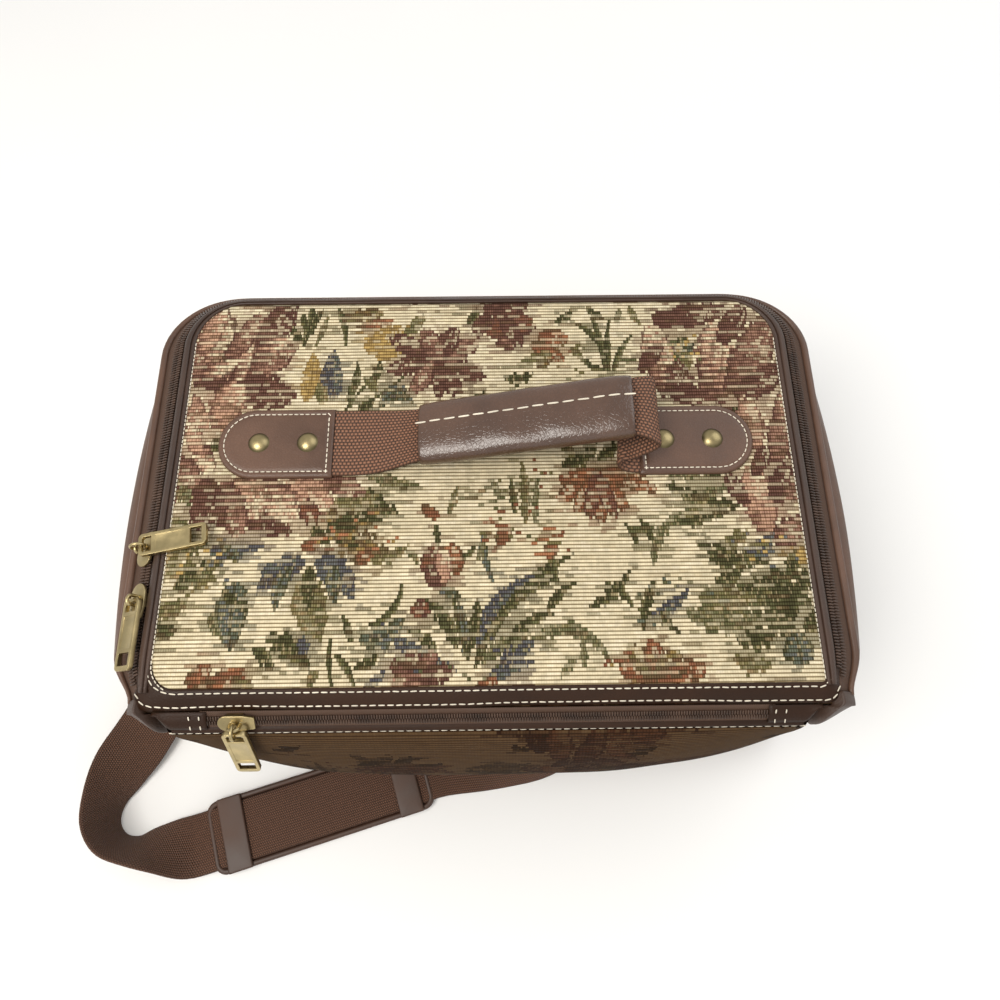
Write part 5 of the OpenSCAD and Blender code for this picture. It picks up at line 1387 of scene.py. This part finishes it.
class CASE_OT_trim(bpy.types.Operator):
    """Vinyl trims round the lid and the case: hinge trim, slopes, pipings, band and corner caps"""

    bl_idname = "case.trim"
    bl_label = "Vinyl Trims"

    def execute(self, context):
        m = materials()
        lid_path, path = u_path(TRIM_STEP, LID_STRIP_FRONT, ZIP_RUN), u_path(TRIM_STEP, STRIP_FRONT, ZIP_RUN)
        s = np.linspace(SKIRT_S - 0.6, -VINYL_S, 8)
        puff = VINYL_T + 0.35 * np.sin(np.linspace(0, math.pi, 8))
        profile = [slope_at(k, h) for k, h in zip(s, puff)] + [slope_at(s[-1], 0), slope_at(s[0], 0)]

        def crease(run, k):
            depth = 0.2 if 0 < k < 7 else 0.0
            return depth * np.sin(run / 13 + 0.7 * np.sin(run / 41)) * (0.3 + 0.7 * np.sin(run / 97) ** 2)

        # The lid's slope uses the vinyl with painted shade.
        skirt = tube("lid_slope", u_strip(lid_path, profile, crease), m["dark_vinyl"])
        settle(skirt, "lid", "vinyl", "lid_skirt")
        ring = [
            (0.6 + 1.5 * math.cos(t), CASE_H - 1.7 + 1.25 * math.sin(t))
            for t in np.arange(12) * math.pi / 6
        ]
        # The lid's cording also uses the vinyl with painted shade.
        settle(tube("lid_cording", u_strip(lid_path, ring), m["dark_vinyl"]), "lid", "vinyl", "lid_piping")
        ring = ring_profile(slope_at(PIPING_S, 0.3), PIPING_R + 0.2)
        settle(tube("case_cording", u_strip(path, ring), m["vinyl"]), "case", "vinyl", "case_piping")
        shares = np.array(BAND_SHARES)
        t = np.linspace(0, 1, 14)
        bow = np.interp(t, shares[:, 0], shares[:, 1])
        outer = [(WALL_G, WALL_Z + k * BAND_H, b, -0.5 * math.sin(math.pi * k)) for k, b in zip(t, bow)]
        inner = [(WALL_G, z, b, 2.0) for _, z, b, _ in outer[::-1]]
        band_path = u_path(TRIM_STEP, HINGE_Y + CLEAR)
        band = u_sheet(band_path, outer + inner).transpose(1, 0, 2)
        settle(tube("case_band_vinyl", band, m["vinyl"]), "case", "vinyl", "case_band")
        seam = u_sheet(band_path, [(WALL_G, WALL_Z + 2.6, 0.985, -0.55)])[0]
        up = np.concatenate([band_path[1], np.zeros((len(seam), 1))], 1)
        settle(stitches("case_band_stitches", [(seam, up)]), "case", "vinyl")
        self.hinge_trim(m)
        way = np.array([(STRIP_FRONT + 1.2, 0.0, 0.0, 0.0)] + [(HINGE_Y - CLEAR, *l) for l in ZIP_END_SHARES])
        way, _ = curve_through(
            np.stack(
                [
                    way[:, 0] - way[:, 1] * ZIP_END_RUN, way[:, 2] * ZIP_END_DROP, way[:, 3] * ZIP_RUN,
                    way[:, 1]
                ],
                1
            ),
            1.0
        )
        start = -7.0
        out = np.linspace(0, 1, 24)
        bulge = smooth(out / 0.3 + 0.1) * (1 - out**2)
        for side, name, inward in ((-1, "left", LEFT_IN), (1, "right", RIGHT_IN)):
            rings = []
            for y, fall, turn, ahead in way:
                ring = []
                for h, order in ((VINYL_T, 1), (0.0, -1)):
                    for o, b in zip(out[::order], bulge[::order]):
                        s = start + o * (BAND_S - start)
                        g, level = slope_at(s, h + 0.5 * math.sin(math.pi * o) * (h > 0))
                        level += 1.1 * min(s, 0)
                        forward = ahead * ZIP_END_RUN * (1 - b) - h * fall / ZIP_END_DROP
                        reach = g * (1 - inward) * (1 - turn / ZIP_RUN * (1 - o)) - 0.3 * turn * (1 - o) ** 2
                        ring.append((side * (LID_W / 2 + reach), y + forward, level - fall))
                rings.append(ring)
            # The zip's end caps use the vinyl with painted shade.
            cap = tube("zip_cap_" + name, np.array(rings), m["dark_vinyl"])
            settle(cap, "case", "vinyl", "zip_end_" + name)
        return {"FINISHED"}

    def hinge_trim(self, m):
        """The stitched trim along the front edge, turned round both front corners."""
        pairs = []
        for side, r in ((-1, LEFT_R), (1, FRONT_R)):
            a = np.linspace(0, math.pi / 2, 16)
            bend = [
                ((LID_W / 2 - r) + (r - 1.2) * math.sin(t), LID_FRONT + r - (r - 1.2) * math.cos(t))
                for t in a
            ]
            rim = np.array(
                [(LID_W / 2 - r, HINGE_Y)]
                + [(LID_W / 2 + TRIM_RUN * math.sin(t), LID_FRONT - TRIM_RUN * math.cos(t)) for t in a]
            )
            run = np.concatenate([[0], np.cumsum(np.linalg.norm(np.diff(rim, axis=0), axis=1))])
            rim = np.stack([np.interp(np.linspace(0, run[-1], 16), run, rim[:, k]) for k in (0, 1)], 1)
            pairs.append([((side * i[0], i[1]), (side * o[0], o[1])) for i, o in zip(bend, rim)])
        line = [
            ((x, LID_FRONT + 1.2), (x, HINGE_Y))
            for x in np.linspace(LEFT_R - LID_W / 2, LID_W / 2 - FRONT_R, 90)[1:-1]
        ]
        pairs = np.array(pairs[0][::-1] + line + pairs[1])
        x = pairs[:, 1, 0]
        pairs[:, 1, 1] += 0.45 * (
            1 + np.sin(x / 31 + 0.9 * np.sin(x / 19))
        ) * smooth((LID_W / 2 - 10 - np.abs(x)) / 40)
        n = np.concatenate(
            [
                normalised(pairs[:, 1] - pairs[:, 0]) * math.sin(0.72),
                np.full((len(pairs), 1), math.cos(0.72))
            ],
            1
        )
        top = np.concatenate([pairs[:, 0], np.full((len(pairs), 1), CASE_H - 0.6)], 1)
        low = np.concatenate([pairs[:, 1], np.full((len(pairs), 1), HINGE_Z + 0.2)], 1)

        def at(t, h):
            return top * (1 - t) + low * t + n * (0.75 * math.sin(math.pi * t) - h)

        k = np.linspace(0, 1, 8)
        rings = np.stack([at(t, 0.0) for t in k] + [at(t, 1.4) for t in k[::-1]], 1)
        # The hinge trim uses the trim vinyl with painted shade.
        settle(tube("hinge_trim", rings, m["trim"]), "lid", "vinyl", "lid_trim")
        rows = [(at(t, -0.25)[2:-2], n[2:-2]) for t in (0.15, 0.8)]
        settle(stitches("hinge_trim_stitches", rows), "lid", "vinyl")


class CASE_OT_zip(bpy.types.Operator):
    """Tapes and teeth of the main zip"""

    bl_idname = "case.zip"
    bl_label = "Main Zip"

    def execute(self, context):
        m = materials()
        sewing = context.scene.case_sewing
        for body, sign, far, name, front in (
            ("lid", -1, -LID_TAPE_S, "lid", LID_STRIP_FRONT),
            ("case", 1, TAPE_W - SEAT, "case", STRIP_FRONT)
        ):
            path = u_path(TRIM_STEP, front, ZIP_RUN)
            s = np.linspace(0.25, far, 7) * sign
            profile = [slope_at(k, -0.02) for k in s] + [slope_at(k, -0.8) for k in s[::-1]]
            uv = strip_uv(path, np.abs(np.concatenate([s, s[::-1]])))
            # The lid's tape takes the copy of the tape with painted shade.
            tape = tube(name + "_tape", u_strip(path, profile), m["tape" if sign > 0 else "dark_tape"], uv=uv)
            settle(tape, body, "zip_tape", name + "_zip_tape")
            line = u_strip(path, [slope_at(sign * 2.1, 0.82)])[:, 0]
            up = np.concatenate([path[1] * math.sin(SLOPE), np.full((len(line), 1), math.cos(SLOPE))], 1)
            line, up = line[3:-3], up[3:-3]
            teeth = row_of(
                name + "_teeth", [(line, up)], "y", sewing.tooth_pitch, (1.15, 4.0, 1.55), 0.03, m["coil"]
            )
            settle(teeth, body, "zip_coil", name + "_zip_coil")
        return {"FINISHED"}


def tongue_ring(inset, lift, place):
    """One ring of points of a tab, drawn in from its outline."""
    r, n = TAB_W / 2 - inset, 40
    straight = np.linspace(inset, TAB_L - TAB_W / 2, 28)
    turn = np.linspace(-math.pi / 2, math.pi / 2, n)[1:-1]
    end = np.linspace(r, -r, 22)[1:-1]
    ring = [(x, -r) for x in straight] + [
        (TAB_L - TAB_W / 2 + r * math.cos(t), r * math.sin(t)) for t in turn
    ]
    ring += [(x, r) for x in straight[::-1]] + [(inset, y) for y in end]
    return [place(x, y, lift) for x, y in ring]


def tab_piece(name, place, material):
    """A padded vinyl tab with a rolled edge and a sewn groove, and the line of its seam."""
    levels = [
        (0, 0.0), (0.0, 1.1), (0.35, 1.9), (1.2, 2.4), (2.6, 2.45), (3.3, 2.0), (4.0, 2.45), (5.5, 2.6),
        (8, 2.6), (12, 2.6), (16, 2.6), (19, 2.6)
    ]
    rings = np.array([tongue_ring(inset, lift, place) for inset, lift in levels])
    seam = tongue_ring(3.3, 2.3, place)
    return tube(name, rings, material), seam + seam[:1]


class CASE_OT_handle(bpy.types.Operator):
    """Handle with its tabs, webbing and stitched vinyl grip"""

    bl_idname = "case.handle"
    bl_label = "Handle"

    def execute(self, context):
        m = materials()
        seams = []
        for side, name in ((-1, "left"), (1, "right")):
            def place(x, y, z, side=side):
                return side * (HANDLE_SPAN / 2 + x), LID_Y + HANDLE_Y + y, CASE_H + z

            tab, seam = tab_piece("handle_tab_" + name + "_vinyl", place, m["vinyl"])
            settle(tab, "lid", "vinyl", "handle_tab_" + name)
            seams.append((seam, (0, 0, 1)))
        settle(stitches("handle_tab_stitches", seams, 2.3, 0.65, 3.0), "lid", "vinyl")
        share = np.array(HANDLE_SHARES)
        base = CASE_H + WEB_T / 2 + SEAT
        route = np.stack(
            [
                share[:, 0] * (HANDLE_SPAN / 2 - SEAT), LID_Y + HANDLE_Y + share[:, 3] * HANDLE_SKEW,
                base + share[:, 1] * GRIP_RISE, share[:, 2] * WEB_W
            ],
            1
        )
        line, run = curve_through(route, 1.6)
        across = np.broadcast_to([0.0, 1.0, 0.0], (len(line), 3))
        grid, uv = ribbon(line[:, :3], across, line[:, 3], WEB_T, run)
        settle(tube("handle_web", grid, m["webbing"], uv=uv), "lid", "webbing", "handle_webbing")
        line, run = curve_through(route[4:11], 1.5)
        centre = line[:, :3]
        heading = normalised(np.gradient(centre, axis=0))
        up = normalised(np.cross(heading, [0.0, 1.0, 0.0]))
        up = up * np.sign(up[:, 2:3])
        a = np.arange(48) * 2 * math.pi / 48
        c, s = np.cos(a), np.sin(a)
        px = np.sign(c) * np.abs(c) ** 0.75 * GRIP_W / 2
        pz = np.sign(s) * np.abs(s) ** 0.75 * GRIP_H / 2
        rings = []
        for i, (p, u) in enumerate(zip(centre, up)):
            end = min(i, len(centre) - 1 - i)
            swell = 1 - 0.05 * math.exp(-end / 2.5)
            crease = 0.22 * np.sin(run[i] / 5 + 3 * np.cos(a)) * np.exp(-(((run[i] - 60) / 45) ** 2))
            groove = 0.5 * np.exp(-(((px - 5.0) / 1.3) ** 2)) * (s > 0)
            rings.append(
                p + np.outer(px * swell, [0, 1, 0]) + np.outer(pz * swell + crease * (s > 0) - groove, u)
            )
        rings = np.array(rings)
        inner = [0.72, 0.35]
        lips = [[centre[k] + (rings[k] - centre[k]) * q for q in inner] for k in (0, -1)]
        grid = np.concatenate([np.array(lips[0][::-1]), rings, np.array(lips[1])])
        settle(
            Shell().grid(grid, wrap=True).piece("handle_grip_vinyl", m["grip"]), "lid", "grip",
            "handle_grip"
        )
        k = int(np.argmin(np.abs(px - 5.0) + (s < 0) * 99))
        settle(
            stitches("handle_grip_stitches", [(rings[1:-1, k] + up[1:-1] * 0.25, up[1:-1])], 6.0, 1.0, 7.3),
            "lid", "grip"
        )
        return {"FINISHED"}


class CASE_OT_strap(bpy.types.Operator):
    """Shoulder strap with its tabs, webbing and moulded pad"""

    bl_idname = "case.strap"
    bl_label = "Strap"

    def execute(self, context):
        m = materials()
        turn = math.radians(PAD_TURN)
        cx, cy = PAD_SIDE - STRAP_X, HINGE_Y - PAD_FWD
        pad_z = PAD_T + (WEB_T + 2 * CLEAR) / 2
        flat = (math.sin(turn), -math.cos(turn), 0)
        reach = PAD_L / 2 + 8
        on_pad = [
            (cx + k * math.cos(turn), cy + k * math.sin(turn), pad_z, *flat)
            for k in (-reach, -0.4 * PAD_L, 0, 0.4 * PAD_L, reach)
        ]
        top = [(STRAP_X, STRAP_Y, STRAP_TAB_Z - z, 0, 1, 0) for z in (SEAT, 6.0)]
        left = [(-p[0], *p[1:]) for p in top]
        ways = [
            [
                (
                    k[0] * STRAP_X + k[1] * WEB_W, HINGE_Y + k[2] * (STRAP_Y - HINGE_Y) + k[3] * WEB_W,
                    k[4] * WEB_W, *k[5:]
                )
                for k in part
            ]
            for part in (STRAP_LEFT, STRAP_RIGHT)
        ]
        route = left + ways[0] + on_pad + ways[1] + top[::-1]
        line, run = curve_through(route, 3.0)
        grid, uv = ribbon(line[:, :3], line[:, 3:], WEB_W, WEB_T, run)
        strap = tube("strap_web", grid, m["strap"], uv=uv)
        settle(strap, "case", "webbing", "strap_webbing")

        def pad_point(x, y, z):
            c, s = math.cos(turn), math.sin(turn)
            return cx + x * c - y * s, cy + x * s + y * c, z

        def rounded(half_l, half_w, r, n=10):
            ring = []
            for sx, sy, a0 in ((1, -1, -90), (1, 1, 0), (-1, 1, 90), (-1, -1, 180)):
                for a in np.radians(np.linspace(a0, a0 + 90, n)):
                    ring.append((sx * (half_l - r) + r * math.cos(a), sy * (half_w - r) + r * math.sin(a)))
            return ring

        half_l, half_w, slot = PAD_L / 2, PAD_W / 2, WEB_T + 2 * CLEAR
        rim, high = 3.4, PAD_T + slot
        levels = [
            (4, 0.0), (0.8, 0.0), (0, 0.8), (0, high - 0.9), (0.9, high), (rim - 0.8, high),
            (rim, high - 0.7), (rim, PAD_T + 0.3), (rim + 2, PAD_T), (12, PAD_T)
        ]
        rings = np.array(
            [
                [pad_point(x, y, z) for x, y in rounded(half_l - d, half_w - d, max(1.0, 8 - d))]
                for d, z in levels
            ]
        )
        shell = Shell().grid(rings, wrap=True, caps=True)
        for sx in (-1, 1):
            mid = sx * (half_l - 8 - PAD_BAND_L / 2)
            bands = []
            for d, z in (
                (0.0, high - 0.4), (0.0, high + 0.9), (0.5, high + 1.5), (1.2, high + 1.6),
                (5.0, high + 1.75), (7.5, high + 1.8)
            ):
                bands.append(
                    [
                        pad_point(mid + x, y, z)
                        for x, y in rounded(PAD_BAND_L / 2 - d * 0.9, half_w + 0.3 - d, 1.0, 6)
                    ]
                )
            shell.grid(np.array(bands), wrap=True, caps=True)
        pad = shell.piece("strap_pad_moulded", m["pad"])
        settle(pad, "case", "pad", "strap_pad")
        seams = []
        for side, name in ((-1, "left"), (1, "right")):
            def place(x, y, z, side=side):
                return side * (LID_W / 2 + WALL_G + SIDE_BOW + CLEAR + z), STRAP_Y + y, STRAP_TAB_Z + x

            tab, seam = tab_piece("strap_tab_" + name + "_vinyl", place, m["vinyl"])
            settle(tab, "case", "vinyl", "strap_tab_" + name)
            seams.append((seam, (side, 0, 0)))
        settle(stitches("strap_tab_stitches", seams, 2.3, 0.65, 3.0), "case", "vinyl")
        return {"FINISHED"}


class CASE_OT_hardware(bpy.types.Operator):
    """Brass sliders, pulls and rivets, and the plain panels that stay as they are in the frame"""

    bl_idname = "case.hardware"
    bl_label = "Hardware"

    def execute(self, context):
        m = materials()
        bodies = frame["record"]["behaviour"]["bodies"]
        body_of = {n: b for b, nodes in bodies.items() for n in nodes}
        for node in ("rear_pull", "front_pull", "pocket_pull"):
            settle(self.eased(node, 0.45, m["brass"]), body_of[node], "brass", node)
        for node in ("rear_slider", "front_slider", "pocket_slider"):
            settle(self.eased(node, 0.3, m["brass"]), body_of[node], "brass", node)
        for node, key in (
            ("rear_link", "brass"), ("pocket_link", "brass"), ("handle_rivets", "rivet"),
            ("strap_rivets", "brass"), ("base_board", "board")
        ):
            mesh = frame["nodes"][node].data
            mesh.materials.clear()
            mesh.materials.append(m[key])
        return {"FINISHED"}

    def eased(self, node, width, material):
        """A copy of a frame node with its edges rounded over."""
        mesh = frame["nodes"][node].data.copy()
        mesh.name = node + "_brass"
        bm = bmesh.new()
        bm.from_mesh(mesh)
        bmesh.ops.remove_doubles(bm, verts=bm.verts, dist=2e-6)
        bmesh.ops.dissolve_limit(bm, angle_limit=math.radians(0.5), verts=bm.verts, edges=bm.edges)
        bm.to_mesh(mesh)
        bm.free()
        mesh.materials.clear()
        mesh.materials.append(material)
        obj = bpy.data.objects.new(node + "_brass", mesh)
        bpy.context.scene.collection.objects.link(obj)
        bevel = obj.modifiers.new("Ease", "BEVEL")
        bevel.width, bevel.segments = width * MM, 3
        bevel.limit_method, bevel.angle_limit = "ANGLE", math.radians(35)
        bpy.context.view_layer.update()
        made = bpy.data.meshes.new_from_object(obj.evaluated_get(bpy.context.evaluated_depsgraph_get()))
        obj.modifiers.clear()
        obj.data = made
        made.polygons.foreach_set("use_smooth", np.ones(len(made.polygons), bool))
        return obj


class CASE_OT_stage(bpy.types.Operator):
    """Pale floor, soft studio light and the camera"""

    bl_idname = "case.stage"
    bl_label = "Stage"

    def execute(self, context):
        scene = context.scene
        look = scene.case_stage
        mesh = bpy.data.meshes.new("floor")
        mesh.from_pydata(
            [(x * FLOOR_HALF, y * FLOOR_HALF, 0) for x, y in ((-1, -1), (1, -1), (1, 1), (-1, 1))], [],
            [(0, 1, 2, 3)]
        )
        mesh.materials.append(floor_material("floor"))
        floor = bpy.data.objects.new("floor", mesh)
        scene.collection.objects.link(floor)
        world = bpy.data.worlds.new("studio")
        world.use_nodes = True
        world.node_tree.nodes["Background"].inputs["Color"].default_value = (1.0, 0.985, 0.96, 1)
        world.node_tree.nodes["Background"].inputs["Strength"].default_value = 0.68
        scene.world = world
        for name, place, aim, size, power, colour in (
            ("key", (-0.55, -0.35, 1.25), (0, 0, 0.12), 0.65, 12.2, (1.0, 0.96, 0.9)),
            ("fill", (0.9, 0.6, 1.1), (0, 0, 0.1), 1.2, 6.0, (0.95, 0.97, 1.0)),
            ("front", (0.2, -1.2, 0.7), (0, -0.05, 0.1), 0.9, 1.2, (1.0, 0.97, 0.93)),
        ):
            light = bpy.data.lights.new(name, "AREA")
            light.size, light.energy, light.color = size, power, colour
            obj = bpy.data.objects.new(name, light)
            obj.location = place
            obj.rotation_euler = (Vector(aim) - Vector(place)).to_track_quat("-Z", "Y").to_euler()
            scene.collection.objects.link(obj)
        ce, se = math.cos(look.elevation), math.sin(look.elevation)
        back = Vector((math.sin(look.azimuth) * ce, -math.cos(look.azimuth) * ce, se))
        right = (-back).cross(Vector((0, 0, 1))).normalized()
        up = right.cross(-back)
        c, s = math.cos(look.roll), math.sin(look.roll)
        right, up = right * c + up * s, up * c - right * s
        target = Vector((AIM_X, AIM_Y + LID_Y, CASE_H)) * MM
        eye = target + back * look.distance
        camera = bpy.data.cameras.new("camera")
        camera.lens, camera.sensor_width, camera.clip_start = look.lens, 36.0, 0.01
        obj = bpy.data.objects.new("camera", camera)
        obj.matrix_world = Matrix(
            (
                (right.x, up.x, back.x, eye.x), (right.y, up.y, back.y, eye.y),
                (right.z, up.z, back.z, eye.z), (0, 0, 0, 1)
            )
        )
        scene.collection.objects.link(obj)
        scene.camera = obj
        scene.view_settings.view_transform = "Standard"
        return {"FINISHED"}


PIECES = (
    CASE_OT_lid, CASE_OT_walls, CASE_OT_pocket, CASE_OT_trim, CASE_OT_zip,
    CASE_OT_handle, CASE_OT_strap, CASE_OT_hardware, CASE_OT_stage,
)


class CASE_PT_panel(bpy.types.Panel):
    bl_label = "Tapestry Case"
    bl_idname = "CASE_PT_panel"
    bl_space_type = "VIEW_3D"
    bl_region_type = "UI"
    bl_category = "Case"

    def draw(self, context):
        scene = context.scene
        for group in (scene.case_cloth, scene.case_sewing, scene.case_look, scene.case_stage):
            box = self.layout.box()
            for key in group.bl_rna.properties.keys():
                if key not in ("rna_type", "name"):
                    box.prop(group, key)
        for piece in PIECES:
            self.layout.operator(piece.bl_idname)


SETTINGS = {
    "case_cloth": CASE_PG_cloth, "case_sewing": CASE_PG_sewing, "case_look": CASE_PG_look,
    "case_stage": CASE_PG_stage
}


def register():
    for cls in (*SETTINGS.values(), *PIECES, CASE_PT_panel):
        bpy.utils.register_class(cls)
    for name, cls in SETTINGS.items():
        setattr(bpy.types.Scene, name, bpy.props.PointerProperty(type=cls))


def unregister():
    for name in SETTINGS:
        delattr(bpy.types.Scene, name)
    for cls in (CASE_PT_panel, *PIECES[::-1], *SETTINGS.values()):
        bpy.utils.unregister_class(cls)


def main():
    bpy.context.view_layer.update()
    register()
    for piece in (CASE_OT_stage, *PIECES[:-1]):
        group, name = piece.bl_idname.split(".")
        getattr(getattr(bpy.ops, group), name)()


if __name__ == "__main__":
    main()
